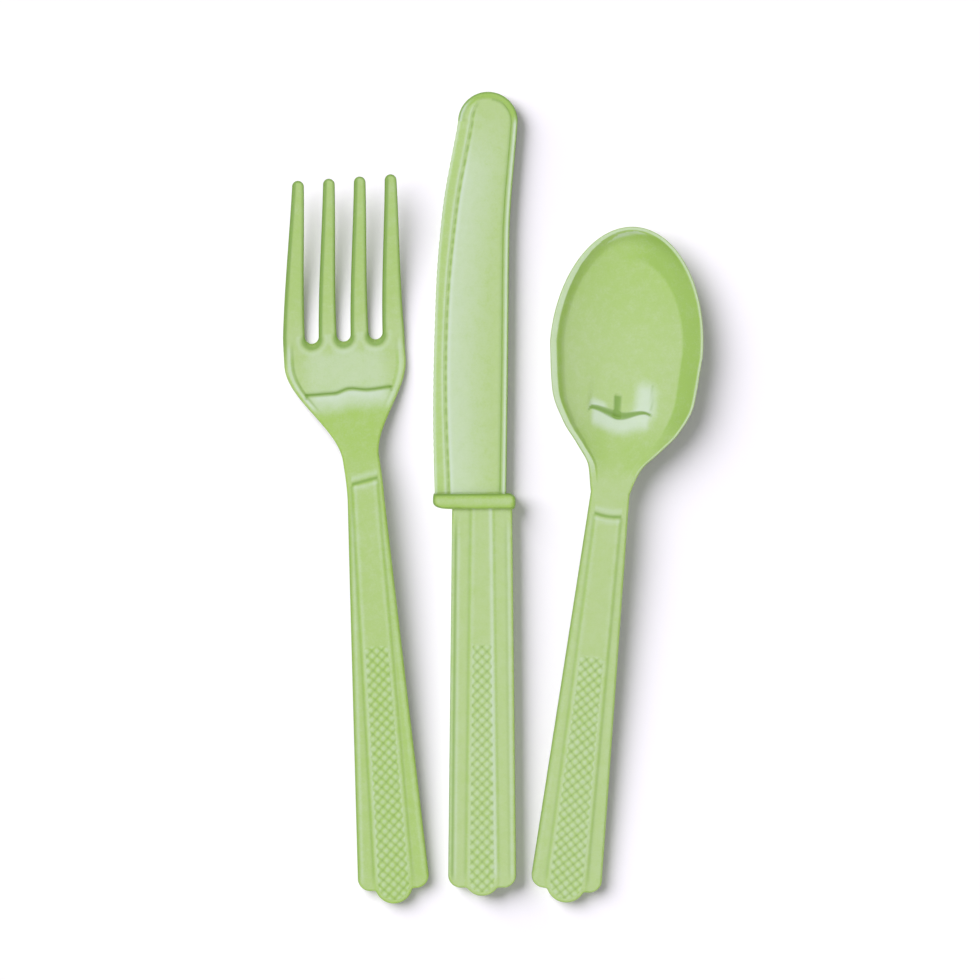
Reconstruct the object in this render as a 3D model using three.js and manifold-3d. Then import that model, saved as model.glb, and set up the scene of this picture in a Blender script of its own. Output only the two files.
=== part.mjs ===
// A set of plastic cutlery: a fork, a knife and a spoon, each moulded in one piece, side by side on a table.
// Each piece is drawn along its own line. Along runs from the end of the handle to the tip, across runs to
// the right as seen from above, and up is measured from the table.

import * as THREE from "three";
import { mergeVertices } from "three/addons/utils/BufferGeometryUtils.js";
import Module from "manifold-3d";

const wasm = await Module();
wasm.setup();

const { lerp, clamp, smoothstep, degToRad } = THREE.MathUtils;

// Driving dimensions in millimetres, turns in degrees.

// The handle section that all three pieces share.
const WALL = 1.3; // wall round the hollow underside
const HANDLE_DEPTH = 3.6; // from the rim below to the flanks
const PANEL_RISE = 0.5; // centre panel above the flanks
const PANEL_EDGE = 0.3; // broken edge of the centre panel
const EDGE = 0.7; // broken outer edge
const CORNER = 3; // rounded shoulders at the handle's end
const MIN_EDGE = 0.03; // share of the broken edge at which it begins
const PAST = 0.5; // how far a cut reaches past the surface that it opens
const LEAST_STEP = 0.02; // stations closer than this count as one

const FORK = {
  tongue: 3.3, // nose of the centre panel past the shoulders
  noseRadius: 4.45,
  handle: 96, // nose to neck
  neck: 9,
  flare: 23, // neck to full width
  palm: 5, // full width to the slot roots
  tines: 38,
  endWidth: 17,
  neckWidth: 8.6,
  headWidth: 28.7,
  tipsWidth: 24.4,
  panelEnd: 9.1,
  panelNeck: 5.9,
  panelPast: 4, // end of the centre panel past the start of the neck
  hollowShort: 16, // full depth of the underside ends this far before the neck
  hollowRamp: 14,
  outerExtra: 0.92, // outer tines are this much wider than inner ones
  slotRoot: 3.3, // width of a slot at its root
  tineTip: 2.7,
  tineLap: 2, // length of a tine inside the palm
  edgeFade: 4, // length over which a tine's broken edges begin
  neckRise: 4.8, // underside of the neck above the table
  tipRise: 8.5,
  neckDepth: 3,
  plate: 1.9,
  tipPlate: 1.4,
  palmDrift: -2.8, // sideways sway of the palm from the handle's line
  tipDrift: 0.3,
};

const KNIFE = {
  tongue: 1.9,
  noseRadius: 4.3,
  handle: 91.1, // nose to collar
  endWidth: 16.1,
  neckWidth: 14.2,
  panelEnd: 7.8,
  panelNeck: 5.2,
  panelPast: 0.9,
  hollowShort: 5.1,
  hollowRamp: 3,
  collar: 3.8, // along the knife
  collarLeft: 11.6,
  collarRight: 7.9,
  collarHeight: 4.9,
  collarRound: 1.6,
  collarFlat: 0.2, // least straight part between two round corners
  blade: 94.6, // collar to tip
  bladeMiddle: 1.9, // height of the blade's middle plane
  bladePlate: 1.5,
  edgePlate: 0.5, // thickness left at the cutting edge
  bevel: 3.4,
  bevelShare: 0.4, // the bevel takes at most this share of the blade's width
  rimWidth: 1.6, // bead along the spine and round the tip
  rimPlate: 2.1,
  rimTurn: 140, // how far round the tip the bead runs
  rimLast: 0.2, // share of its width left there
  tipRadius: 7.05,
  tipShift: 1.35, // middle of the tip to the right of the handle's line
  teethFrom: 8,
  toothPitch: 1.7,
  toothDepth: 0.25,
};

// The blade's outline as [distance from the collar, across] up to the round tip.
const CUTTING_EDGE = [[0, -11.2], [18, -11.6], [46, -11], [66, -9.45]];
const SPINE = [[0, 5.7], [30, 6.1], [60, 6.4]];

const SPOON = {
  tongue: 2.9,
  noseRadius: 4.7,
  handle: 97, // nose to neck
  throat: 34, // neck to the widest part of the bowl
  bowl: 28.8, // widest part to the tip
  endWidth: 16.9,
  neckWidth: 9.1,
  bowlWidth: 36,
  panelEnd: 9.7,
  panelNeck: 6.1,
  panelPast: -5,
  hollowShort: 19,
  hollowRamp: 14,
  neckRise: 5.2,
  neckDepth: 3,
  rim: 8.6, // height of the rim at the bowl's widest part
  tipRim: 7.8,
  wall: 1.5,
  ramp: 22, // length over which the neck runs down to the floor of the bowl
  section: 3.2, // how square the bowl's cross section is
  tipSection: 3, // the same for the rise of the floor to the tip
  throatDrift: 0.8, // sideways sway of the shoulders from the handle's line
  throatDriftAt: 13, // from the neck
  tipDrift: -0.6,
};

// The spoon's shoulders as [share of the throat, share of the widening] from the neck to the widest part.
const SPOON_SHOULDERS = [[0.176, 0.123], [0.312, 0.383], [0.453, 0.665], [0.662, 0.903]];

const LAYOUT = {
  forkGap: 3.95, // between the widest parts of the handle ends
  spoonGap: 2.8,
  forkTurn: 4.06,
  spoonTurn: -6.38,
  forkBelow: 1.77, // handle end below that of the knife
  spoonBelow: 1.53,
};

const GREEN = 0xb9d493;

// A smooth line through [along, value] points that never swings past them.
function curve(points) {
  const steps = points.slice(1).map(([s, v], i) => (v - points[i][1]) / (s - points[i][0]));
  const slopes = points.map((_, i) => {
    const before = steps[i - 1] ?? steps[i];
    const after = steps[i] ?? steps[i - 1];
    return before * after <= 0 ? 0 : (2 * before * after) / (before + after);
  });
  return (s) => {
    const next = points.findIndex(([at]) => at > s);
    const i = next < 0 ? points.length - 2 : Math.max(0, next - 1);
    const span = points[i + 1][0] - points[i][0];
    const t = clamp((s - points[i][0]) / span, 0, 1);
    const rise = t * t * (3 - 2 * t);
    const bend = slopes[i] * t * (1 - t) ** 2 - slopes[i + 1] * t * t * (1 - t);
    return lerp(points[i][1], points[i + 1][1], rise) + bend * span;
  };
}

// Evenly spaced stations from one place to another, both included.
function spaced(from, to, count) {
  return Array.from({ length: count + 1 }, (_, i) => lerp(from, to, i / count));
}

// Stations in order, without doubles.
function ordered(...lists) {
  const all = lists.flat().sort((a, b) => a - b);
  return all.filter((s, i) => i === 0 || s - all[i - 1] > LEAST_STEP);
}

// A three.js geometry as a solid that can be joined and cut.
function solid(geometry) {
  geometry.deleteAttribute("normal");
  geometry.deleteAttribute("uv");
  const merged = mergeVertices(geometry);
  const vertProperties = new Float32Array(merged.attributes.position.array);
  const triVerts = new Uint32Array(merged.index.array);
  return new wasm.Manifold(new wasm.Mesh({ numProp: 3, vertProperties, triVerts }));
}

// A closed skin over rings of [across, up] points, one ring for each station, with both ends capped.
// A ring runs counter-clockwise as seen from the handle's end.
function loft(stations, ringAt, centreAt = () => 0) {
  const rings = stations.map((s) => ringAt(s).map(([across, up]) => new THREE.Vector2(across, up)));
  const count = rings[0].length;
  const last = (rings.length - 1) * count;
  const place = (p, s) => [p.x + centreAt(s), s, p.y];
  const positions = rings.flatMap((ring, i) => ring.flatMap((p) => place(p, stations[i])));
  const index = [];
  for (let i = 0; i + 1 < rings.length; i++) {
    for (let j = 0; j < count; j++) {
      const a = i * count + j;
      const b = i * count + ((j + 1) % count);
      index.push(a, b + count, b, a, a + count, b + count);
    }
  }
  THREE.ShapeUtils.triangulateShape(rings[0], []).forEach(([a, b, c]) => index.push(a, b, c));
  THREE.ShapeUtils.triangulateShape(rings[rings.length - 1], []).forEach(([a, b, c]) => {
    index.push(last + c, last + b, last + a);
  });
  const geometry = new THREE.BufferGeometry();
  geometry.setAttribute("position", new THREE.Float32BufferAttribute(positions, 3));
  geometry.setIndex(index);
  return solid(geometry);
}

// A slab section from left to right and bottom to top with its two upper edges broken.
function slab(left, right, bottom, top, edge) {
  return [
    [left, bottom],
    [right, bottom],
    [right, top - edge],
    [right - edge, top],
    [left + edge, top],
    [left, top - edge],
  ];
}

// Where the centre panel ends, and where the underside stops being hollow to its full depth.
const panelStop = (piece) => piece.handle + piece.panelPast;
const hollowStop = (piece) => piece.handle - piece.hollowShort;

// Half the width of a handle: rounded shoulder corners, then an even taper to the neck.
function taper(piece, s) {
  const t = clamp((s - piece.tongue) / (piece.handle - piece.tongue), 0, 1);
  const corner = Math.max(0, CORNER - (s - piece.tongue));
  return lerp(piece.endWidth, piece.neckWidth, t) / 2 - CORNER + Math.sqrt(CORNER ** 2 - corner ** 2);
}

// Half the width of the raised centre panel, which ends in a round nose.
function panelHalf(piece, s) {
  const half = lerp(piece.panelEnd, piece.panelNeck, s / panelStop(piece)) / 2;
  const back = Math.max(0, piece.noseRadius - s);
  return s < piece.noseRadius ? Math.min(half, Math.sqrt(piece.noseRadius ** 2 - back ** 2)) : half;
}

// Stations round the shoulder corners.
function cornerStations(piece) {
  return [0, 30, 60, 90].map((turn) => piece.tongue + CORNER * (1 - Math.cos(degToRad(turn))));
}

// Joins the raised centre panel to a body and hollows the handle from below.
function finishHandle(piece, body, under, top, halfWidth) {
  const nose = [6, 25, 45, 65, 90].map((turn) => piece.noseRadius * (1 - Math.cos(degToRad(turn))));
  const panelStations = ordered(nose, spaced(piece.noseRadius, panelStop(piece), 11));
  const panel = loft(panelStations, (s) => {
    const half = panelHalf(piece, s);
    return slab(-half, half, under(s), top(s) + PANEL_RISE, Math.min(PANEL_EDGE, half / 2));
  });
  const hollowFull = hollowStop(piece);
  const hollowEnd = hollowFull + piece.hollowRamp;
  const from = piece.tongue + WALL;
  const hollowStations = ordered(
    spaced(from, from + CORNER, 3),
    spaced(from + CORNER, hollowFull, 7),
    spaced(hollowFull, hollowEnd, 5),
  );
  const hollow = loft(hollowStations, (s) => {
    const half = halfWidth(s) - WALL;
    const below = under(s) - 2 * PAST;
    const roof = lerp(top(s) - WALL, under(s) - PAST, smoothstep(s, hollowFull, hollowEnd));
    return [[-half, below], [half, below], [half, roof], [-half, roof]];
  });
  return body.add(panel).subtract(hollow);
}

function makeFork() {
  const flareAt = FORK.handle + FORK.neck;
  const palmAt = flareAt + FORK.flare;
  const rootAt = palmAt + FORK.palm;
  const length = rootAt + FORK.tines;
  const slotRadius = FORK.slotRoot / 2;
  const slotCentreAt = rootAt + slotRadius;
  const innerTine = (FORK.headWidth - 3 * FORK.slotRoot - 2 * FORK.outerExtra) / 4;
  const slotPitch = innerTine + FORK.slotRoot;

  const under = curve([[0, 0], [FORK.handle, FORK.neckRise], [palmAt, 0], [length, FORK.tipRise]]);
  const depth = curve([
    [0, HANDLE_DEPTH],
    [hollowStop(FORK), HANDLE_DEPTH],
    [flareAt, FORK.neckDepth],
    [palmAt, FORK.plate],
    [length, FORK.tipPlate],
  ]);
  const top = (s) => under(s) + depth(s);
  const drift = curve([[0, 0], [FORK.handle, 0], [palmAt, FORK.palmDrift], [length, FORK.tipDrift]]);
  const halfWidth = (s) => {
    return lerp(taper(FORK, s), FORK.headWidth / 2, smoothstep(s, flareAt, palmAt));
  };

  const bodyStations = ordered(
    cornerStations(FORK),
    spaced(FORK.tongue + CORNER, FORK.handle, 9),
    spaced(FORK.handle, palmAt, 18),
    spaced(palmAt, slotCentreAt, 3),
  );
  let body = loft(
    bodyStations,
    (s) => slab(-halfWidth(s), halfWidth(s), under(s), top(s), EDGE),
    drift,
  );
  body = finishHandle(FORK, body, under, top, halfWidth);

  // Round slot roots.
  [-1, 0, 1].forEach((k) => {
    const [low, high] = [-PAST, top(slotCentreAt) + PAST];
    const profile = [[0, low], [slotRadius, low], [slotRadius, high], [0, high]];
    const root = new THREE.LatheGeometry(profile.map(([r, h]) => new THREE.Vector2(r, h)), 20);
    root.rotateX(Math.PI / 2);
    root.translate(k * slotPitch + drift(slotCentreAt), slotCentreAt, 0);
    body = body.subtract(solid(root));
  });

  // Tines, from the left to the right, each from the slot roots to a round tip.
  const tipHalf = FORK.tineTip / 2;
  const tipStep = (FORK.tipsWidth - FORK.tineTip) / 3;
  const tipFrom = length - tipHalf;
  const tipRound = [25, 50, 70, 85].map((turn) => tipFrom + tipHalf * Math.sin(degToRad(turn)));
  const tineStations = ordered(spaced(slotCentreAt - FORK.tineLap, tipFrom, 11), tipRound);
  const edges = [-FORK.headWidth / 2, -slotPitch, 0, slotPitch, FORK.headWidth / 2];
  for (let k = 0; k < 4; k++) {
    const left = edges[k] + (k === 0 ? 0 : slotRadius);
    const right = edges[k + 1] - (k === 3 ? 0 : slotRadius);
    const tip = (k - 1.5) * tipStep;
    const tine = loft(
      tineStations,
      (s) => {
        const t = clamp((s - slotCentreAt) / (length - slotCentreAt), 0, 1);
        const round = Math.sqrt(1 - Math.max(0, (s - tipFrom) / tipHalf) ** 2);
        const middle = lerp((left + right) / 2, tip, t);
        const half = lerp((right - left) / 2, tipHalf, t) * round;
        const faded = EDGE * (MIN_EDGE + smoothstep(s, slotCentreAt, slotCentreAt + FORK.edgeFade));
        const edge = Math.min(faded, half / 2, depth(s) / 2);
        return slab(middle - half, middle + half, under(s), top(s), edge);
      },
      drift,
    );
    body = body.add(tine);
  }
  return body;
}

function makeKnife() {
  const under = () => 0;
  const top = () => HANDLE_DEPTH;
  const halfWidth = (s) => taper(KNIFE, s);
  const joinAt = KNIFE.handle + KNIFE.collar / 2;
  const collarTop = KNIFE.handle + KNIFE.collar;
  const tipAt = collarTop + KNIFE.blade - KNIFE.tipRadius;

  const handleStations = ordered(
    cornerStations(KNIFE),
    spaced(KNIFE.tongue + CORNER, joinAt, 6),
  );
  const handle = loft(handleStations, (s) => {
    return slab(-halfWidth(s), halfWidth(s), 0, HANDLE_DEPTH, EDGE);
  });
  let body = finishHandle(KNIFE, handle, under, top, halfWidth);

  // The collar is a bar with round corners and broken edges.
  const [x0, x1] = [-KNIFE.collarLeft + EDGE, KNIFE.collarRight - EDGE];
  const [y0, y1] = [KNIFE.handle + EDGE, collarTop - EDGE];
  const inner = Math.min(KNIFE.collarRound, (y1 - y0 - KNIFE.collarFlat) / 2);
  const outline = new THREE.Shape();
  outline.absarc(x1 - inner, y0 + inner, inner, -Math.PI / 2, 0);
  outline.absarc(x1 - inner, y1 - inner, inner, 0, Math.PI / 2);
  outline.absarc(x0 + inner, y1 - inner, inner, Math.PI / 2, Math.PI);
  outline.absarc(x0 + inner, y0 + inner, inner, Math.PI, 1.5 * Math.PI);
  const collar = new THREE.ExtrudeGeometry(outline, {
    depth: KNIFE.collarHeight - 2 * EDGE,
    curveSegments: 4,
    bevelThickness: EDGE,
    bevelSize: EDGE,
    bevelSegments: 2,
  });
  collar.translate(0, 0, EDGE);
  body = body.add(solid(collar));

  // The blade is a plate with a bevel to both faces along the cutting edge, which is finely toothed.
  const placed = (points) => points.map(([s, across]) => [collarTop + s, across]);
  const side = (points, turn) => {
    return curve([...placed(points), [tipAt, KNIFE.tipShift + turn * KNIFE.tipRadius]]);
  };
  const cutting = side(CUTTING_EDGE, -1);
  const spine = side(SPINE, 1);
  const teethFrom = collarTop + KNIFE.teethFrom;
  const teeth = Math.floor((tipAt - teethFrom) / KNIFE.toothPitch);
  const teethTo = teethFrom + teeth * KNIFE.toothPitch;
  const halfTeeth = spaced(teethFrom, teethTo, 2 * teeth);
  const notches = new Set(halfTeeth.filter((_, i) => i % 2 === 1));
  const tipTurns = [10, 25, 40, 55, 70, 80, 87].map((turn) => degToRad(turn));
  const tipStations = tipTurns.map((turn) => tipAt + KNIFE.tipRadius * Math.sin(turn));
  const bladeStations = ordered([joinAt, collarTop], halfTeeth, [tipAt], tipStations);
  const bladeLeft = (s) => {
    const inTip = Math.max(0, (s - tipAt) / KNIFE.tipRadius);
    const round = KNIFE.tipShift - KNIFE.tipRadius * Math.sqrt(1 - inTip ** 2);
    return s > tipAt ? round : cutting(s) + (notches.has(s) ? KNIFE.toothDepth : 0);
  };
  const bladeRight = (s) => {
    const inTip = Math.max(0, (s - tipAt) / KNIFE.tipRadius);
    return s > tipAt ? KNIFE.tipShift + KNIFE.tipRadius * Math.sqrt(1 - inTip ** 2) : spine(s);
  };
  const plate = loft(bladeStations, (s) => {
    const left = bladeLeft(s);
    const right = bladeRight(s);
    const foot = left + Math.min(KNIFE.bevel, (right - left) * KNIFE.bevelShare);
    const [mid, half, thin] = [KNIFE.bladeMiddle, KNIFE.bladePlate / 2, KNIFE.edgePlate / 2];
    return [
      [left, mid - thin],
      [foot, mid - half],
      [right, mid - half],
      [right, mid + half],
      [foot, mid + half],
      [left, mid + thin],
    ];
  });

  // The bead runs up the spine and round the tip, where it thins out on the cutting side.
  const spineStations = ordered([joinAt], spaced(collarTop, tipAt, 9));
  const arc = spaced(0, KNIFE.rimTurn, 9).map((turn) => degToRad(turn));
  const onTip = (turn, radius) => {
    return new THREE.Vector2(KNIFE.tipShift + radius * Math.cos(turn), tipAt + radius * Math.sin(turn));
  };
  const thinned = (turn) => {
    return KNIFE.rimWidth * lerp(1, KNIFE.rimLast, smoothstep(turn, Math.PI / 2, arc[arc.length - 1]));
  };
  const bead = new THREE.Shape([
    ...spineStations.map((s) => new THREE.Vector2(spine(s), s)),
    ...arc.slice(1).map((turn) => onTip(turn, KNIFE.tipRadius)),
    ...arc.slice(1).reverse().map((turn) => onTip(turn, KNIFE.tipRadius - thinned(turn))),
    ...spineStations.slice().reverse().map((s) => new THREE.Vector2(spine(s) - KNIFE.rimWidth, s)),
  ]);
  const rim = new THREE.ExtrudeGeometry(bead, { depth: KNIFE.rimPlate, bevelEnabled: false });
  rim.translate(0, 0, KNIFE.bladeMiddle - KNIFE.rimPlate / 2);
  return body.add(plate).add(solid(rim));
}

function makeSpoon() {
  const bowlAt = SPOON.handle + SPOON.throat;
  const length = bowlAt + SPOON.bowl;
  const handleUnder = curve([[0, 0], [SPOON.handle, SPOON.neckRise]]);
  const handleDepth = curve([
    [0, HANDLE_DEPTH],
    [hollowStop(SPOON), HANDLE_DEPTH],
    [SPOON.handle, SPOON.neckDepth],
  ]);
  const rim = curve([
    [SPOON.handle, SPOON.neckRise + SPOON.neckDepth],
    [bowlAt, SPOON.rim],
    [length, SPOON.tipRim],
  ]);
  const top = (s) => (s < SPOON.handle ? handleUnder(s) + handleDepth(s) : rim(s));
  const thickness = (s) => {
    const bowl = lerp(SPOON.neckDepth, SPOON.wall, smoothstep(s, SPOON.handle, SPOON.handle + SPOON.ramp));
    return s < SPOON.handle ? handleDepth(s) : bowl;
  };
  const under = (s) => top(s) - thickness(s);
  const floor = SPOON.rim - SPOON.wall;
  const dish = (s) => {
    const inRamp = smoothstep(s, SPOON.handle, SPOON.handle + SPOON.ramp);
    const inTip = clamp((s - bowlAt) / SPOON.bowl, 0, 1);
    return floor * inRamp * (1 - inTip ** SPOON.tipSection);
  };
  const shoulders = curve([
    [SPOON.handle, SPOON.neckWidth / 2],
    ...SPOON_SHOULDERS.map(([along, wide]) => [
      SPOON.handle + along * SPOON.throat,
      lerp(SPOON.neckWidth, SPOON.bowlWidth, wide) / 2,
    ]),
    [bowlAt, SPOON.bowlWidth / 2],
  ]);
  const halfWidth = (s) => {
    if (s < SPOON.handle) return taper(SPOON, s);
    if (s < bowlAt) return shoulders(s);
    return (SPOON.bowlWidth / 2) * Math.sqrt(1 - ((s - bowlAt) / SPOON.bowl) ** 2);
  };

  const drift = curve([
    [0, 0],
    [SPOON.handle, 0],
    [SPOON.handle + SPOON.throatDriftAt, SPOON.throatDrift],
    [bowlAt, 0],
    [length, SPOON.tipDrift],
  ]);

  // One skin over the handle and the bowl: flat across the handle, dished across the bowl.
  const places = [-1, -0.94, -0.84, -0.68, -0.45, 0, 0.45, 0.68, 0.84, 0.94, 1];
  const tipTurns = [12, 24, 36, 48, 60, 70, 79, 86].map((turn) => degToRad(turn));
  const stations = ordered(
    cornerStations(SPOON),
    spaced(SPOON.tongue + CORNER, SPOON.handle, 9),
    spaced(SPOON.handle, bowlAt, 15),
    tipTurns.map((turn) => bowlAt + SPOON.bowl * Math.sin(turn)),
  );
  const body = loft(stations, (s) => {
    const half = halfWidth(s);
    const sunk = (v) => dish(s) * (1 - Math.abs(v) ** SPOON.section);
    const below = places.map((v) => [v * half, under(s) - sunk(v)]);
    const above = places.map((v) => [v * half, top(s) - sunk(v)]).reverse();
    return [...below, ...above];
  }, drift);
  return finishHandle(SPOON, body, under, top, halfWidth);
}

// A finished solid as a mesh, turned and moved to its place on the table.
function lay(name, shape, x, y, turn) {
  const { vertProperties, triVerts } = shape.getMesh();
  const geometry = new THREE.BufferGeometry();
  geometry.setAttribute("position", new THREE.BufferAttribute(new Float32Array(vertProperties), 3));
  geometry.setIndex(new THREE.BufferAttribute(new Uint32Array(triVerts), 1));
  geometry.computeVertexNormals();
  geometry.computeBoundingBox();
  const material = new THREE.MeshStandardMaterial({ color: GREEN, roughness: 0.3, metalness: 0 });
  const mesh = new THREE.Mesh(geometry, material);
  mesh.name = name;
  mesh.rotation.z = degToRad(turn);
  mesh.position.set(x, y, -geometry.boundingBox.min.z);
  return mesh;
}

const forkX = -(KNIFE.endWidth / 2 + LAYOUT.forkGap + FORK.endWidth / 2);
const spoonX = KNIFE.endWidth / 2 + LAYOUT.spoonGap + SPOON.endWidth / 2;
const set = new THREE.Group();
set.name = "cutlery";
set.add(lay("fork", makeFork(), forkX, -LAYOUT.forkBelow, LAYOUT.forkTurn));
set.add(lay("knife", makeKnife(), 0, 0, 0));
set.add(lay("spoon", makeSpoon(), spoonX, -LAYOUT.spoonBelow, LAYOUT.spoonTurn));

// The origin is the middle of the set's box, on the table.
const middle = new THREE.Box3().setFromObject(set, true).getCenter(new THREE.Vector3());
set.position.set(-middle.x, -middle.y, 0);

export default set;
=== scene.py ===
"""A set of plastic cutlery, a fork, a knife and a spoon, as three moulded surfaces on a white table."""

import math
from types import SimpleNamespace

import bpy
import numpy as np
from bpy.props import FloatProperty, FloatVectorProperty, PointerProperty
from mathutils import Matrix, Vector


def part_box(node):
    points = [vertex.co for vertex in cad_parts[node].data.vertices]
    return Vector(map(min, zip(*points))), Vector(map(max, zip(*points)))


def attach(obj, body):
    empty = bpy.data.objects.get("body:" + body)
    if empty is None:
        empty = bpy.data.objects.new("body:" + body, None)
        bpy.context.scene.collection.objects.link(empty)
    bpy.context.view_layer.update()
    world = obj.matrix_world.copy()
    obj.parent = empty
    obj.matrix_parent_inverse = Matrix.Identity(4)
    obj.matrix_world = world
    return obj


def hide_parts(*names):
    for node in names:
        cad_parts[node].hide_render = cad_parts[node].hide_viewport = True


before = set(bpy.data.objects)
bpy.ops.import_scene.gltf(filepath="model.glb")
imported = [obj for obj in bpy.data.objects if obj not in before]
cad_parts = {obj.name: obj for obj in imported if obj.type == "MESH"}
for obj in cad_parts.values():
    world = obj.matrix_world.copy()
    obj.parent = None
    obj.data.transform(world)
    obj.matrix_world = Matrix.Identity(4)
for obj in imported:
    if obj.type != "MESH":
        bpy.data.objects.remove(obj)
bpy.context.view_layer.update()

bl_info = {
    "name": "Plastic cutlery",
    "version": (1, 0, 0),
    "blender": (4, 5, 0),
    "location": "View3D > Sidebar > Cutlery",
    "description": "Moulded plastic fork, knife and spoon laid side by side",
    "category": "Add Mesh",
}

# Shapes are worked out in millimetres along each piece's own line: x across, s along from the handle's end.
MM = 0.001

# The handle section that the pieces share.
CORNER = 3.0  # round shoulders at the handle's end
FILLET = 0.6  # hollow corner between a shoulder and the nose
WALL = 1.3  # wall round the hollow underside
STEP_BAND = 0.5  # half the width of the slope at the edge of the centre panel
FAN_ROWS = 48  # rows that turn from the end's outline to straight ones
FAN_TO = 12.0

# Rings from the top surface over the edge to the underside.
LIP_RINGS = 6
ROUND_RINGS = 6
WALL_RINGS = 2
UNDER_RINGS = 3
RIM_RINGS = 2
LIP = 0.45  # plain strip inside a rounded edge
UNDER_EDGE = 0.3
UNDER_INSET = 0.6
ROUND_SHARE = 0.92  # share of the thickness that the roundings may take

# Columns across a piece, and across a handle's underside: rim, wall, hollow, wall and rim.
COLUMNS = 72
UNDER_CELLS = (3, 5, 56, 5, 3)

# Columns of a flank, of the slope beside the centre panel and of the panel, on a handle's top.
TOP_CELLS = (10, 5, 42)
KNIFE_TOP_CELLS = (14, 5, 34)

# The grip's pyramids: how blunt their edges are, the power of their sides and the level of their middle.
GRIP_BLUNT = 0.015
GRIP_POWER = 0.8
GRIP_MIDDLE = 0.45

# Points of the pieces' own lines. A crease has (across, along) points and finer rows near it, the blade's
# edges have (from the collar, across) points, and the spoon's shoulders have shares of the throat's length
# and of its widening.
FORK_CREASE = [(-10, 120.9), (-3.4, 120.95), (0.4, 121.85), (4.6, 121.3), (10, 121.65)]
FORK_CREASE_ROWS = (119, 123.5)
SPOON_CREASE = [(-8.2, 115.3), (-7.15, 116.6), (-0.35, 115.0), (5.5, 116.5), (7.0, 116.0)]
SPOON_CREASE_ROWS = (113.5, 118.5)
CUTTING_EDGE = [(0, -11.2), (18, -11.6), (46, -11), (66, -9.45)]
SPINE = [(0, 5.7), (30, 6.1), (60, 6.4)]
SHOULDERS = [(0.176, 0.123), (0.312, 0.383), (0.453, 0.665), (0.662, 0.903)]

# How each piece is turned on the table.
TURN = {"fork": math.radians(4.06), "knife": 0.0, "spoon": math.radians(-6.38)}

# The table, in metres, is three boards that meet under the left sides of the knife and the spoon, so that
# each piece shades only the board it lies on. A board's lamp shines from the place that SUNS gives.
TABLE_HALF = 0.3
KNIFE_SEAM = [(-0.0095, -TABLE_HALF), (-0.0095, TABLE_HALF)]
SPOON_SEAM = [(0.0135, -TABLE_HALF), (0.0135, -0.0919), (0.0578, TABLE_HALF)]
BOARDS = {
    "fork": [(-TABLE_HALF, -TABLE_HALF), *KNIFE_SEAM, (-TABLE_HALF, TABLE_HALF)],
    "knife": [KNIFE_SEAM[0], *SPOON_SEAM, KNIFE_SEAM[1]],
    "spoon": [SPOON_SEAM[0], (TABLE_HALF, -TABLE_HALF), (TABLE_HALF, TABLE_HALF), *SPOON_SEAM[:0:-1]],
}
SUNS = {"fork": (-0.65, 0.5, 1), "knife": (-1, 0.6, 0.72), "spoon": (-0.75, 0.5, 1)}
SUN_SPREAD = math.radians(50)
SOFT_PLACE = (-0.15, 0.06, 1.0)
SOFT_SPREAD = math.radians(125)
FADE_FROM = 0.2  # the table turns to plain white from here
FADE_OVER = 0.25
WHITE = (1, 1, 1, 1)

# The camera looks straight down: the width of the picture and its middle on the table, in metres.
LENS = 180.0
SENSOR = 36.0
PICTURE_WIDTH = 0.2307
PICTURE_MIDDLE = (-0.00059, 0.00177)
PIECE_LEVEL = 0.004


# Curves and steps

def lerp(a, b, t):
    """The place a share t of the way from a to b."""
    return a + (b - a) * t


def ease(x, start, end):
    """0 before start, 1 after end, and a smooth S between them."""
    t = np.clip((x - start) / (end - start), 0, 1)
    return t * t * (3 - 2 * t)


def line_through(points):
    """A smooth line through (along, value) points that never swings past them: cubic pieces whose slope at
    a point is the harmonic mean of the slopes on its two sides, and level where the line turns back."""
    at, value = np.array(points, float).T
    steps = np.diff(value) / np.diff(at)
    before = np.concatenate([steps[:1], steps])
    after = np.concatenate([steps, steps[-1:]])
    product = before * after
    slope = np.where(product > 0, 2 * product / np.where(product > 0, before + after, 1), 0)

    def follow(s):
        i = np.clip(np.searchsorted(at, s, side="right") - 1, 0, len(at) - 2)
        span = at[i + 1] - at[i]
        t = np.clip((s - at[i]) / span, 0, 1)
        bend = slope[i] * t * (1 - t) ** 2 - slope[i + 1] * t * t * (1 - t)
        return lerp(value[i], value[i + 1], t * t * (3 - 2 * t)) + bend * span

    return follow


def bump(x, width):
    """1 at 0, falling off as a bell on both sides."""
    return np.exp(-((x / width) ** 2))


def between(x, start, end, soft):
    """1 between start and end with soft ends outside them."""
    return ease(x, start - soft, start) * (1 - ease(x, end, end + soft))


def arc(centre, radius, start, end, count):
    """Points round a circle, from one angle to another in degrees; radius may be (across, along)."""
    turn = np.radians(np.linspace(start, end, count + 1))
    return np.array(centre) + np.stack([np.cos(turn), np.sin(turn)], 1) * radius


def even(points, count):
    """The same polyline cut into a number of equal lengths."""
    run = np.concatenate([[0], np.cumsum(np.hypot(*np.diff(points, axis=0).T))])
    at = np.linspace(0, run[-1], count + 1)
    return np.stack([np.interp(at, run, points[:, 0]), np.interp(at, run, points[:, 1])], 1)


def spaced(*stretches):
    """Stations in order: each stretch is (from, to, step)."""
    parts = [np.linspace(a, b, max(1, round((b - a) / step)) + 1)[1:] for a, b, step in stretches]
    return np.concatenate([[stretches[0][0]], *parts])


# Grids

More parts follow.
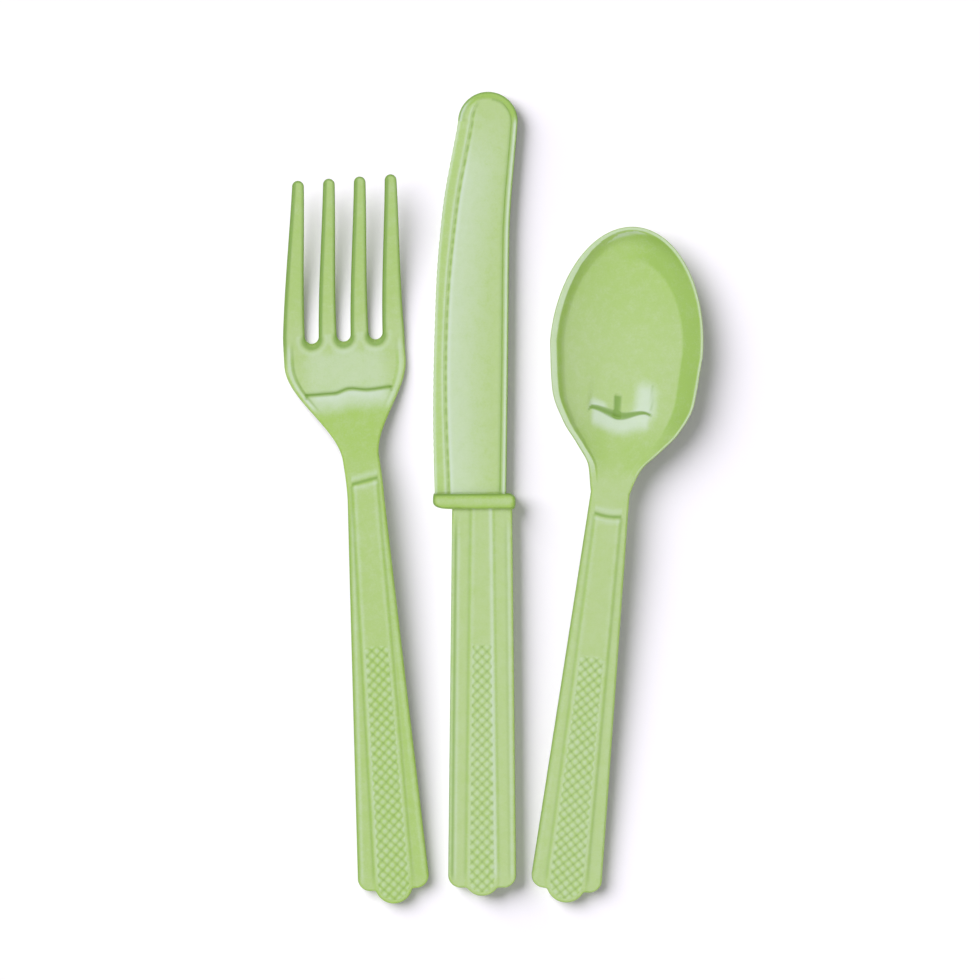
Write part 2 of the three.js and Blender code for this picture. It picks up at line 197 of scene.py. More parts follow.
def outward(loop, closed):
    """Unit normals to the right of a line of points, from the mean of the directions before and after."""
    ahead = np.diff(loop, axis=0, append=loop[:1] if closed else loop[-1:] * 2 - loop[-2:-1])
    ahead = ahead / np.hypot(*ahead.T)[:, None]
    behind = np.roll(ahead, 1, axis=0)
    if not closed:
        behind[0] = ahead[0]
    along = ahead + behind
    along = along / np.hypot(*along.T)[:, None]
    return np.stack([along[:, 1], -along[:, 0]], 1)


def shares(breaks, counts):
    """Column places across each row as shares from 0 to 1: even steps between the breaks of that row."""
    parts = [
        lerp(breaks[:, k : k + 1], breaks[:, k + 1 : k + 2], np.arange(n) / n)
        for k, n in enumerate(counts)
    ]
    places = np.concatenate([*parts, breaks[:, -1:]], 1)
    first, last = places[:, :1], places[:, -1:]
    return (places - first) / (last - first)


def patch(front, back, left, right):
    """A four-sided patch filled from its edges: the sum of the straight blends front to back and left to
    right, less the blend of the four corners."""
    t = np.linspace(0, 1, len(left))[:, None, None]
    v = np.linspace(0, 1, len(front))[None, :, None]
    along = lerp(front[None], back[None], t)
    across = lerp(left[:, None], right[:, None], v)
    corners = lerp(lerp(front[0], front[-1], v), lerp(back[0], back[-1], v), t)
    return along + across - corners


def handle_stations(piece, *stretches):
    """Rows along a piece: those of the handle's end, then each stretch in turn as (to, step)."""
    start = piece.tongue + CORNER
    rows = [(start, FAN_TO, (FAN_TO - start) / FAN_ROWS)]
    for to, step in stretches:
        rows.append((rows[-1][1], to, step))
    return spaced(*rows)


def planform(front, left, right, share, back=None, back_rows=0):
    """Rows of points from the handle's end to the far end: straight rows between the two sides, with a
    patch at the start that takes in the outline of the end and, where back is given, one at the far end."""
    rows = lerp(left[:, None], right[:, None], share[:, :, None])
    n = FAN_ROWS
    if front is not None:
        rows[: n + 1] = patch(front, rows[n], left[: n + 1], right[: n + 1])
    if back is not None:
        first = len(left) - 1 - back_rows
        rows[first:] = patch(rows[first].copy(), back, left[first:], right[first:])
    return rows


def edge_strip(inner, outline, normal, under_inner, top, bottom, edge):
    """Rings from the top surface to the underside along an outline: a plain lip, a rounding whose section
    is a superellipse, a straight wall, a smaller rounding below and a strip of the underside."""
    width, drop, power = edge.width, edge.drop, edge.power
    start = outline - normal * width[:, None]
    under_start = outline - normal * UNDER_EDGE
    high, low = top(*start.T), bottom(*under_start.T)
    room = np.minimum(1, ROUND_SHARE * (high - low) / (drop + UNDER_EDGE))
    drop, rise = drop * room, UNDER_EDGE * room
    rings = []
    for q in np.linspace(0, 1, LIP_RINGS + 1):
        place = lerp(inner, start, q)
        rings.append(np.column_stack([place, top(*place.T)]))
    for turn in np.linspace(0, math.pi / 2, ROUND_RINGS + 1)[1:]:
        inset = width * (1 - np.sin(turn) ** (2 / power))
        place = outline - normal * inset[:, None]
        rings.append(np.column_stack([place, high - drop * (1 - np.cos(turn) ** (2 / power))]))
    for q in np.linspace(0, 1, WALL_RINGS + 1)[1:]:
        rings.append(np.column_stack([outline, lerp(high - drop, low + rise, q)]))
    for turn in np.linspace(math.pi / 2, 0, UNDER_RINGS + 1)[1:]:
        place = outline - normal * UNDER_EDGE * (1 - np.sin(turn))
        rings.append(np.column_stack([place, low + rise * (1 - np.cos(turn))]))
    for q in np.linspace(0, 1, RIM_RINGS + 1)[1:]:
        place = lerp(under_start, under_inner, q)
        rings.append(np.column_stack([place, bottom(*place.T)]))
    return np.stack(rings, 1)


def edge_of(width, drop, power):
    """The size of a rounded edge at each point of an outline."""
    return SimpleNamespace(width=width, drop=drop, power=power)


def lifted(places, height):
    """A grid of points with their height as a function of the place."""
    return np.concatenate([places, height(places[..., 0], places[..., 1])[..., None]], -1)


def facets(rows, columns, closed=False, flipped=False):
    """Four-sided faces of a grid of points, whose last row joins the first where it is closed."""
    i, j = np.meshgrid(np.arange(rows if closed else rows - 1), np.arange(columns - 1), indexing="ij")
    near, far = i * columns + j, (i + 1) % rows * columns + j
    order = [near, far, far + 1, near + 1] if flipped else [near, near + 1, far + 1, far]
    return np.stack([a.ravel() for a in order], 1)


class Skin:
    """Collects grids of points and joins them into one closed surface."""

    def __init__(self):
        self.points, self.faces, self.count = [], [], 0

    def add(self, grid, closed=False, flipped=False):
        rows, columns = grid.shape[:2]
        self.points.append(grid.reshape(-1, 3))
        self.faces.append(facets(rows, columns, closed, flipped) + self.count)
        self.count += rows * columns

    def joined(self):
        """Points and faces with shared points merged. Every edge has to lie between two faces."""
        points = np.concatenate(self.points)
        _, first, same = np.unique(np.round(points * 1e4).astype(np.int64), axis=0,
                                   return_index=True, return_inverse=True)
        faces = same.reshape(-1)[np.concatenate(self.faces)]
        edges = np.sort(np.stack([faces, np.roll(faces, -1, axis=1)], -1).reshape(-1, 2), axis=1)
        edges, uses = np.unique(edges, axis=0, return_counts=True)
        bad = (uses != 2) | (edges[:, 0] == edges[:, 1])
        if bad.any():
            raise RuntimeError(f"{bad.sum()} bad edges, the first near {points[first][edges[bad][:6, 0]]}")
        return points[first], faces


def normals(points, faces):
    """Unit normals at the points: the sum of the normals of the faces round each of them."""
    diagonal = points[faces[:, 2]] - points[faces[:, 0]]
    other = points[faces[:, 3]] - points[faces[:, 1]]
    flat = np.cross(diagonal, other)
    total = np.stack([
        sum(np.bincount(faces[:, k], flat[:, axis], len(points)) for k in range(4)) for axis in range(3)
    ], 1)
    return total / np.linalg.norm(total, axis=1)[:, None]


# Handle

def handle_end(piece, counts):
    """The outline of a handle's end from the left to the right corner: a round shoulder, a level stretch, a
    hollow fillet, the arc of the nose, and the same again on the right."""
    flank, step, panel = counts
    nose, reach = piece.nose_radius, piece.nose_radius + FILLET
    below = piece.tongue - FILLET
    away = math.sqrt(reach**2 - (nose - below) ** 2)
    half = half_width(piece, piece.tongue + CORNER)
    shoulder = arc((-half + CORNER, piece.tongue + CORNER), CORNER, 180, 270, 40)
    left = even(np.concatenate([shoulder, [[-away, piece.tongue]]]), flank)
    turn = math.degrees(math.atan2(nose - below, away))
    fillet = arc((-away, below), FILLET, 90, turn, step)
    tip = arc((0, nose), nose, 180 + turn, 360 - turn, panel)
    mirror = np.array([-1, 1])
    return np.concatenate([left, fillet[1:], tip[1:], fillet[::-1][1:] * mirror, left[::-1][1:] * mirror])


def half_width(piece, s):
    """Half the width of a handle past its shoulders: an even taper to the neck."""
    t = np.clip((s - piece.tongue) / (piece.handle - piece.tongue), 0, 1)
    return lerp(piece.end_width, piece.neck_width, t) / 2


def panel_half(piece, s):
    """Half the width of the raised centre panel, which narrows evenly."""
    return lerp(piece.panel_end, piece.panel_neck, np.clip(s / piece.panel_stop, 0, 1)) / 2


def knurl(piece, x, s):
    """Rows of small pyramids: the product of two waves that cross at right angles, each the size of a
    cosine, inside a plain border along the panel's edges."""
    pitch = piece.knurl_pitch
    waves = [np.sqrt(np.cos(math.pi * (x + sign * s) / pitch) ** 2 + GRIP_BLUNT) for sign in (-1, 1)]
    nose = piece.nose_radius
    from_nose = np.where(s < nose, nose - np.hypot(x, s - nose), nose)
    inset = np.minimum(panel_half(piece, s) - np.abs(x), from_nose) - piece.knurl_border
    field = ease(inset, 0, 0.35) * (1 - ease(s, piece.knurl_stop - 0.5, piece.knurl_stop))
    return field * piece.knurl_height * ((waves[0] * waves[1]) ** GRIP_POWER - GRIP_MIDDLE)


def panel_relief(piece, x, s):
    """Height of the centre panel over the flanks: a soft step along its edges and across its end, and the
    pyramids on it."""
    off = np.abs(x) - panel_half(piece, s)
    stop = panel_end_line(piece, x)
    body = (1 - ease(off, -STEP_BAND, STEP_BAND)) * (1 - ease(s, stop - STEP_BAND, stop + STEP_BAND))
    return piece.panel_rise * body + knurl(piece, x, s)


def panel_end_line(piece, x):
    """How far along the centre panel ends, which slants or sags across it."""
    return piece.panel_stop + piece.panel_tilt * x + piece.panel_sag * x * x


def handle_painted_light(piece, x, s, tilt):
    """Painted shade and painted highlights of a handle: dark lines of painted shade along the foot of its
    centre panel, across the panel's end, beside its outer edges and in the grip's grooves, pale lines of
    painted highlight on the panel's crest, round its end, beside the outer edges and on the grip's tops,
    and deeper colour on steep slopes and the flanks."""
    side = (x > 0).astype(int)

    def of_side(pair):
        """The left or the right number of a pair, by the side of each point."""
        return np.array(pair)[side]

    off = np.abs(x) - panel_half(piece, s)
    inset = half_width(piece, s) - np.abs(x)
    stop = panel_end_line(piece, x)
    past_end = ease(s, piece.tongue + 1, piece.tongue + 4)
    beside_panel = (1 - ease(s, stop - 0.4, stop)) * past_end
    beside_rim = past_end * (1 - ease(s, piece.handle - 8, piece.handle))
    on_panel = 1 - ease(off, -0.1, 0.4)
    grip = knurl(piece, x, s) / piece.knurl_height

    # Dark lines of painted shade at the panel's foot, beside the outer edges, across the panel's end and in
    # the grip's grooves.
    dark = of_side(piece.foot_lines) * bump(off - 0.2, 0.4) * beside_panel
    dark = dark + of_side(piece.rim_lines) * bump(inset - of_side(piece.rim_at), 0.34) * beside_rim
    dark = dark + piece.end_line * bump(s - stop - 0.15, 0.42) * on_panel
    dark = dark + piece.groove_line * ease(-grip, 0.1, 0.4)

    # Pale lines of painted highlight on the panel's crest, beside the outer edges, round the panel's end,
    # on the grip's tops and on the lips.
    pale = of_side(piece.crest_lines) * bump(off + 0.7, 0.45) * beside_panel
    pale = pale + of_side(piece.rim_crests) * bump(inset - of_side(piece.crest_at), 0.4) * beside_rim
    pale = pale + 0.45 * (bump(s - stop + 1, 0.5) + bump(s - stop - 1.4, 0.7)) * on_panel * piece.end_line
    pale = pale + piece.top_line * ease(grip, -0.15, 0.3) * (np.abs(grip) > 1e-6)
    pale = pale + of_side(piece.lip_pale) * bump(inset, 0.5) * beside_rim

    # Deeper colour: painted shade on steep slopes, and more on the flanks.
    flank = ease(off, 0.5, 0.9) * beside_panel
    deep = np.maximum(np.clip((tilt - 0.1) * 2.5, 0, 0.6), of_side(piece.flank_deep) * flank)
    return dark, pale, deep


def hollow_share(piece, x, s, half):
    """1 inside the hollow underside of a handle and 0 on its rim and past its end."""
    side = ease(half - np.abs(x), WALL - 0.17, WALL + 0.17)
    end = ease(s, piece.tongue + WALL - 0.2, piece.tongue + WALL + 0.2)
    stop = piece.handle - piece.hollow_short
    return side * end * (1 - ease(s, stop, stop + piece.hollow_ramp))


def top_columns(piece, half, s, counts):
    """Columns of a handle's top: even steps on the flanks, the slopes and the centre panel."""
    flank, step, panel = counts
    edge = half - piece.edge - LIP
    p = panel_half(piece, s)
    foot = np.minimum(p + STEP_BAND, edge - 0.04)
    breaks = np.stack([-edge, -foot, STEP_BAND - p, p - STEP_BAND, foot, edge], 1)
    return shares(breaks, (flank, step, panel, step, flank))


def under_columns(half):
    """Columns of a handle's underside: even steps on the rims, the walls and the hollow between them."""
    outer, foot, head = half - UNDER_INSET, half - WALL + 0.2, half - WALL - 0.2
    return shares(np.stack([-outer, -foot, -head, head, foot, outer], 1), UNDER_CELLS)


# Fork

def fork_surface(d):
    """The fork's closed surface. The section along it is an arch from the handle to the palm and a rise to
    the tips, and the palm sways to the left."""
    flare_at = d.handle + d.neck
    palm_at = flare_at + d.flare
    root_at = palm_at + d.palm
    full_length = root_at + d.tines
    slot_half = d.slot_root / 2
    base_at = root_at + slot_half
    inner_tine = (d.head_width - 3 * d.slot_root - 2 * d.outer_extra) / 4
    pitch = inner_tine + d.slot_root
    under = line_through([(0, 0), (d.handle, d.neck_rise), (palm_at, 0), (full_length, d.tip_rise)])
    depth = line_through([(0, d.depth), (d.handle - d.hollow_short, d.depth), (flare_at, d.neck_depth),
                          (palm_at, d.plate), (full_length, d.tip_plate)])
    drift = line_through([(0, 0), (d.handle, 0), (palm_at, d.palm_drift), (full_length, d.tip_drift)])
    crease = line_through(FORK_CREASE)

    def half(s):
        """Half the width: the handle's, easing out to the palm's."""
        return lerp(half_width(d, s), d.head_width / 2, ease(s, flare_at, palm_at))

    def top(x, s):
        """The section's upper line and the panel, less a dish between the crease and the slot roots."""
        off = x - drift(s)
        line = np.minimum(s - crease(off), (half(s) - np.abs(off) - d.rim) * 1.1)
        dish = ease(line, -0.3, 0.3) * (1 - ease(s, palm_at - 1, root_at - 1))
        return under(s) + depth(s) + panel_relief(d, x, s) - d.dish * dish

    def bottom(x, s):
        """The section's lower line, raised to one wall below the top inside the hollow."""
        share = hollow_share(d, x, s, half(s))
        return under(s) + share * (depth(s) - WALL)

    along = handle_stations(d, (d.knurl_stop + 0.5, 0.25), (d.panel_stop - 1.2, 0.9),
                            (d.panel_stop + 1.2, 0.12), (FORK_CREASE_ROWS[0], 0.5),
                            (FORK_CREASE_ROWS[1], 0.16), (base_at, 0.4))
    wave_rows = np.sum(along > palm_at - 2)
    middle = drift(along)
    left = np.stack([middle - half(along), along], 1)
    right = np.stack([middle + half(along), along], 1)
    front = handle_end(d, TOP_CELLS)

    # Outlines of the tines, each with a right side, a round tip and a left side, and of the slots between.
    edges = pitch * np.array([-1, 0, 1])
    roots = np.stack([np.r_[-d.head_width / 2, edges + slot_half],
                      np.r_[edges - slot_half, d.head_width / 2]])
    tip_half = d.tine_tip / 2
    tip_middle = (np.arange(4) - 1.5) * (d.tips_width - d.tine_tip) / 3
    tip_from = full_length - tip_half
    tine_rows = 56
    straight = np.linspace(base_at, tip_from, tine_rows + 1)
    t = (straight - base_at) / (full_length - base_at)
    corner_cells, tine_cells, slot_cells = 4, 9, 12
    tip_rows = 12
    even_cells = np.linspace(0, 1, tine_cells + 1)[:, None]
    tines = []
    for k in range(4):
        centre = lerp(roots[:, k].mean(), tip_middle[k], t) + drift(straight)
        wide = lerp((roots[1, k] - roots[0, k]) / 2, tip_half, t)
        heart, radius = (centre[-1], tip_from), wide[-1]
        both = [np.stack([centre + sign * wide, straight], 1) for sign in (-1, 1)]
        tines.append(SimpleNamespace(
            left=np.concatenate([both[0], arc(heart, radius, 180, 135, corner_cells)[1:]]),
            right=np.concatenate([both[1], arc(heart, radius, 0, 45, corner_cells)[1:]]),
            tip=arc(heart, radius, 135, 45, tine_cells),
        ))
    slots = [arc((edge + drift(base_at), base_at), slot_half, 180, 360, slot_cells) for edge in edges]

    # The loop runs round the whole fork, up its right side and down its left.
    loop, kinds = [front[:-1], right[:-1]], ["end", "side"]
    for k in (3, 2, 1, 0):
        loop += [tines[k].right[:-1], tines[k].tip[::-1][:-1], tines[k].left[::-1][:-1]]
        kinds += ["tine"] * 3
        if k:
            loop.append(slots[k - 1][::-1][:-1])
            kinds.append("slot")
    loop.append(left[::-1][:-1])
    kinds.append("side")
    sizes = [len(part) for part in loop]
    starts = np.concatenate([[0], np.cumsum(sizes)])
    outline = np.concatenate(loop)
    kind = np.repeat(kinds, sizes)
    normal = outward(outline, True)

    # Slopes of the edge: wide where the plate faces left, widest at the slot roots, narrow elsewhere.
    in_head = np.where((kind == "end") | (kind == "side"), ease(outline[:, 1], flare_at, palm_at), 1)
    to_left = np.maximum(0, -normal[:, 0]) ** 2
    to_right = np.maximum(0, normal[:, 0]) ** 2
    to_ends = normal[:, 1] ** 2
    up_width = np.where(kind == "slot", d.root_slope, d.edge)
    head_width = d.left_slope * to_left + d.right_slope * to_right + up_width * to_ends
    slim = lerp(1, d.tip_slope, ease(outline[:, 1], base_at, full_length) * (kind == "tine"))
    width = lerp(d.edge, head_width, in_head) * slim
    edge = edge_of(width, lerp(d.edge, 0.75 * np.maximum(head_width, 0.6), in_head), lerp(2, 1.35, in_head))

    skin = Skin()
    inners = []
    lip = LIP * lerp(1, 0.5, in_head) * slim
    in_neck = ease(along, d.panel_stop + 1, d.panel_stop + 16)[:, None]
    layers = ((width + lip, top_columns(d, half(along), along, TOP_CELLS), top),
              (np.full(len(width), UNDER_INSET), under_columns(half(along)), bottom))
    for inset, handle_share, height in layers:
        inner = outline - normal * inset[:, None]
        inners.append(inner)
        pick = [inner[starts[n] : starts[n] + sizes[n] + 1] for n in range(len(sizes))]
        pick[-1] = np.concatenate([pick[-1], inner[:1]])
        # The parts in the order of the loop: end, right side, then right, tip, left and slot of each tine.
        fork_left = pick[-1][::-1]
        parts = {k: pick[2 + 4 * (3 - k) : 6 + 4 * (3 - k)] for k in (3, 2, 1, 0)}
        back = []
        for k in range(4):
            back.append(lerp(parts[k][2][-1], parts[k][0][0], even_cells))
            if k < 3:
                back.append(parts[k + 1][3][::-1])
        back = np.concatenate([back[0]] + [row[1:] for row in back[1:]])
        row = np.maximum(np.diff(back[:, 0]), 0.08)
        head_share = np.concatenate([[0], np.cumsum(row) / row.sum()])
        share = lerp(handle_share, head_share[None], in_neck)
        body = planform(pick[0], fork_left, pick[1], share, back, wave_rows)
        skin.add(lifted(body, height), flipped=height is bottom)
        for k in range(4):
            right_side, tip, left_side = parts[k][0], parts[k][1][::-1], parts[k][2][::-1]
            rows = lerp(left_side[:, None], right_side[:, None], even_cells[None])
            rows[0] = back[k * (tine_cells + slot_cells) :][: tine_cells + 1]
            last = len(rows) - 1 - tip_rows
            rows[last:] = patch(rows[last].copy(), tip, left_side[last:], right_side[last:])
            skin.add(lifted(rows, height), flipped=height is bottom)
    skin.add(edge_strip(inners[0], outline, normal, inners[1], top, bottom, edge), closed=True)

    def painted_light(x, s, tilt):
        """Painted shade and painted highlights of the fork: the handle's, and those of the palm's crease
        and rims, the tines and the slot roots.
        """
        dark, pale, deep = handle_painted_light(d, x, s, tilt)
        off = x - drift(s)
        inset = half(s) - np.abs(off)
        dark = dark * (1 - ease(s, flare_at, palm_at - 4))

        # The crease across the palm: painted shade along it, with short turns down at its ends, and pale
        # bands of painted highlight on both sides.
        below = crease(off) - s
        within = 1 - ease(np.abs(off), 9.9, 10.4)
        inner = 1 - ease(np.abs(off), 7, 11.5)
        dark = dark + 0.95 * bump(below, 0.5) * within
        dark = dark + 0.6 * bump(np.abs(off) - 10.1, 0.3) * between(below, 0, 1.0, 0.3)
        pale = pale + 0.8 * ease(below, 0.3, 0.9) * (1 - ease(below, 1.0, 6.5)) * inner
        pale = pale + 0.4 * between(below, -8, -0.6, 3) * inner

        # Painted shade and painted highlights along the rims beside the palm.
        beside = between(s, FORK_CREASE_ROWS[0], root_at - 2, 3) * (np.abs(inset - d.rim) < 2)
        dark = dark + np.where(off < 0, 0.55, 0.15) * bump(inset - d.rim - 0.1, 0.3) * beside
        pale = pale + np.where(off < 0, 0.7, 0.5) * bump(inset - d.rim + 0.7, 0.45) * beside

        # Painted shade along the tines, wider on the left of each, and round the slot roots, with a pale
        # ring of painted highlight outside each root.
        past = np.clip((s - base_at) / (full_length - base_at), 0, 1)
        centre = lerp(roots.mean(0)[:, None], tip_middle[:, None], past)
        wide = lerp((roots[1] - roots[0])[:, None] / 2, tip_half, past)
        insets = wide - np.abs(off - centre)
        nearest = np.argmax(insets, 0)
        in_side = np.take_along_axis(insets, nearest[None], 0)[0]
        on_left = off < np.take_along_axis(centre, nearest[None], 0)[0]
        on_tine = s > base_at
        in_tip = np.where(s > tip_from, tip_half - np.hypot(in_side - tip_half, s - tip_from), tip_half)
        line = np.where(on_left, 1 - ease(in_side, 0.65, 1.15), 0.75 * (1 - ease(in_side, 0.35, 0.8)))
        line = np.maximum(line, 1 - ease(in_tip, 0.2, 0.7))
        outer = np.where(off < 0, 1 - ease(inset, 0.65, 1.15), 0.75 * (1 - ease(inset, 0.35, 0.8)))
        line = np.where(on_tine, line, outer * ease(s, palm_at - 2, base_at))
        dark = dark + line
        for edge in edges:
            from_heart = np.hypot(off - edge, s - base_at)
            low = np.clip((base_at - s) / from_heart, 0, 1)
            beside = np.where(off > edge, 0.5, 0.3)
            line = from_heart - slot_half - lerp(beside, 1.3, low)
            root = ~on_tine * (s > palm_at)
            dark = dark + root * 0.95 * bump(line, 0.45)
            dark = dark + root * lerp(0.9, 0.35, low) * (1 - ease(line, -0.5, 0))
            pale = pale + 0.3 * root * bump(line - 1.2, 0.5)
        # Deeper colour: less on the slopes near the slot roots, more on the neck and along the tines.
        deep = deep * (1 - 0.5 * ease(s, root_at - 4, base_at + 6))
        deep = deep + 0.35 * (1 - ease(s, palm_at - 14, palm_at - 4)) + 0.3 * ease(s, base_at, base_at + 8)
        return dark, pale, deep

    return skin.joined(), painted_light


# Knife

def knife_surface(d):
    """The knife's closed surface: a level handle, a half-round collar and a blade with a bevel along the
    cutting edge, a groove at the bevel's foot and a bead along the spine and round the tip."""
    collar_end = d.handle + d.collar
    tip_at = collar_end + d.blade - d.tip_radius

    def long_edge(points, sign):
        """A long edge of the blade: a line through its own points to the start of the round tip."""
        start = [(collar_end + s, x) for s, x in points]
        return line_through([*start, (tip_at, d.tip_shift + sign * d.tip_radius)])

    cutting, spine = long_edge(CUTTING_EDGE, -1), long_edge(SPINE, 1)

    def tip_width(s):
        """Half the width of the blade's tip: a half circle."""
        return d.tip_radius * np.sqrt(np.clip(1 - np.maximum(0, (s - tip_at) / d.tip_radius) ** 2, 0, 1))

    def handle_top(x, s):
        """A level handle with the centre panel on it."""
        return d.depth + panel_relief(d, x, s)

    def handle_bottom(x, s):
        """The table's level, raised to one wall below the top inside the hollow."""
        return hollow_share(d, x, s, half_width(d, s)) * (d.depth - WALL)

    def bevel_foot(s):
        """How far across the cutting edge and the bevel's foot lie. The bevel is narrowest at mid-blade."""
        lower = np.where(s > tip_at, d.tip_shift - tip_width(s), cutting(s))
        upper = np.where(s > tip_at, d.tip_shift + tip_width(s), spine(s))
        width = d.bevel * (1 - 0.18 * bump(s - collar_end - 36, 22))
        return lower, lower + np.minimum(width, (upper - lower) * 0.4)

    def dashes(s):
        """A broken line: a wave along the blade whose spacing drifts, cut to dashes."""
        dash = 0.35 + 0.65 * ease(np.cos(2 * math.pi * s / 2.7 + 2 * np.sin(s / 5)), -0.6, 0.2)
        return dash * (1 - ease(s, tip_at + 3, tip_at + 5))

    def blade_top(x, s):
        """A level plate, less the bevel, a soft crown beside it and a dashed groove at its foot, with a
        bead along the spine that dies out round the tip."""
        lower, foot = bevel_foot(s)
        thin = (d.blade_plate - d.edge_plate) / 2
        from_foot = x - foot
        bevel = thin * np.clip(-from_foot / np.maximum(foot - lower, 0.05), 0, 1.2)
        crown = d.crown * (1 - ease(from_foot, -0.5, 3.6)) * (from_foot > -0.5)
        groove = d.groove * bump(from_foot - 0.1, 0.17) * dashes(s)
        from_heart = np.hypot(x - d.tip_shift, s - tip_at)
        turn = np.degrees(np.arctan2(s - tip_at, x - d.tip_shift))
        from_edge = np.where(s > tip_at, d.tip_radius - from_heart, spine(s) - x)
        width = d.rim_width * np.where(s > tip_at, 1 - 0.8 * ease(turn, 90, 140), 1)
        bead = (d.rim_plate - d.blade_plate) / 2 * (1 - ease(from_edge, width - 0.35, width + 0.1))
        bead = bead * np.where(s > tip_at, 1 - ease(turn, 110, 140), 1)
        return d.blade_middle + d.blade_plate / 2 - bevel - crown - groove + bead

    def blade_bottom(x, s):
        """The top mirrored in the blade's middle plane."""
        return 2 * d.blade_middle - blade_top(x, s)

    # The handle: an outline open at the collar.
    along = handle_stations(d, (d.knurl_stop + 0.5, 0.27), (d.handle, 0.9))
    half = half_width(d, along)
    left, right = np.stack([-half, along], 1), np.stack([half, along], 1)
    front = handle_end(d, KNIFE_TOP_CELLS)
    outline = np.concatenate([left[::-1], front[1:-1], right])
    normal = outward(outline, False)
    width = np.full(len(outline), d.edge)
    n, m = len(along), len(front)
    skin = Skin()
    inner = outline - normal * (d.edge + LIP)
    under_inner = outline - normal * UNDER_INSET
    layers = ((inner, top_columns(d, half, along, KNIFE_TOP_CELLS), handle_top),
              (under_inner, under_columns(half), handle_bottom))
    tops, unders = (
        lifted(planform(line[n - 1 : n + m - 1], line[:n][::-1], line[n + m - 2 :], share), height)
        for line, share, height in layers
    )
    strip = edge_strip(inner, outline, normal, under_inner, handle_top, handle_bottom,
                       edge_of(width, width, 2))
    skin.add(tops)
    skin.add(unders, flipped=True)
    skin.add(strip)
    handle_ring = np.concatenate([tops[-1], strip[-1, 1:-1], unders[-1, ::-1], strip[0, 1:-1][::-1]])

    # The blade: an outline open at the collar, with fine teeth on the cutting edge.
    teeth_from = collar_end + d.teeth_from
    teeth = math.floor((tip_at - teeth_from) / d.tooth_pitch)
    teeth_to = teeth_from + teeth * d.tooth_pitch
    along = spaced((collar_end, teeth_from, 0.6), (teeth_from, teeth_to, d.tooth_pitch / 4),
                   (teeth_to, tip_at, 0.4))
    corner_cells = 16
    heart = (d.tip_shift, tip_at)
    left = np.concatenate([np.stack([cutting(along), along], 1),
                           arc(heart, d.tip_radius, 180, 135, corner_cells)[1:]])
    right = np.concatenate([np.stack([spine(along), along], 1),
                            arc(heart, d.tip_radius, 0, 45, corner_cells)[1:]])
    tip = arc(heart, d.tip_radius, 135, 45, COLUMNS)
    outline = np.concatenate([right, tip[::-1][1:-1], left[::-1]])
    normal = outward(outline, False)
    n = len(left)
    on_left = np.arange(len(outline)) >= n + COLUMNS - 1
    facing = np.maximum(0, -normal[:, 0]) ** 2 * on_left
    width = lerp(0.42, 0.22, facing)
    inner = outline - normal * (width + LIP)[:, None]
    under_inner = outline - normal * UNDER_INSET
    phase = (outline[:, 1] - teeth_from) / d.tooth_pitch
    notch = on_left * (phase > 0) * (phase < teeth) * (0.5 - np.abs(phase % 1 - 0.5)) * 2
    toothed = outline + np.stack([notch * d.tooth_depth, 0 * notch], 1)
    rows = np.concatenate([along, np.full(corner_cells, tip_at)])
    lower, foot = bevel_foot(rows)
    upper = spine(rows)
    breaks = np.stack([lower + 0.67, foot - 0.25, foot + 0.4, upper - 1.9, upper - 1.1, upper - 0.87], 1)
    share = shares(breaks, (14, 8, 36, 9, 5))
    even_share = np.broadcast_to(np.linspace(0, 1, COLUMNS + 1), share.shape)
    layers = ((inner, share, blade_top), (under_inner, even_share, blade_bottom))
    tops, unders = (
        lifted(planform(None, line[-n:][::-1], line[:n], spread, line[n - 1 : n + COLUMNS][::-1],
                        corner_cells), height)
        for line, spread, height in layers
    )
    strip = edge_strip(inner, toothed, normal, under_inner, blade_top, blade_bottom,
                       edge_of(width, width, 2))
    skin.add(tops)
    skin.add(unders, flipped=True)
    skin.add(strip)
    blade_ring = np.concatenate([tops[0], strip[0, 1:-1], unders[0, ::-1], strip[-1, 1:-1][::-1]])

    # The collar swells from the handle's section to a bar and shrinks to the blade's section.
    ends = np.array([[-d.collar_left, 0.0], [d.collar_right, 0.0]])
    sideways = np.array([[-1.0, 0.0], [1.0, 0.0]])
    inset = ends - sideways * (d.collar_edge + LIP)
    flat = edge_strip(inset, ends, sideways, ends - sideways * UNDER_INSET,
                      lambda x, s: np.full(len(x), d.collar_height), lambda x, s: np.zeros(len(x)),
                      edge_of(np.full(2, d.collar_edge), np.full(2, d.collar_edge), 2))
    across = np.linspace(0, 1, COLUMNS + 1)[:, None]
    bar = np.concatenate([lerp(flat[0, 0], flat[1, 0], across), flat[1, 1:-1],
                          lerp(flat[1, -1], flat[0, -1], across), flat[0, 1:-1][::-1]])
    collar_rows = 32
    turn = np.linspace(0, math.pi, collar_rows + 1)
    swell = np.sin(turn) ** (2 / d.collar_power)
    swell[-1] = 0
    reach = -np.sign(np.cos(turn)) * np.abs(np.cos(turn)) ** (2 / d.collar_power)
    rings = []
    for share_now, at in zip(swell, reach):
        ring = lerp(handle_ring if at < 0 else blade_ring, bar, share_now)
        ring[:, 1] = d.handle + d.collar * (1 + at) / 2
        rings.append(ring)
    rings[0], rings[-1] = handle_ring, blade_ring
    rings = np.stack(rings)
    skin.add(np.concatenate([rings, rings[:, :1]], 1))

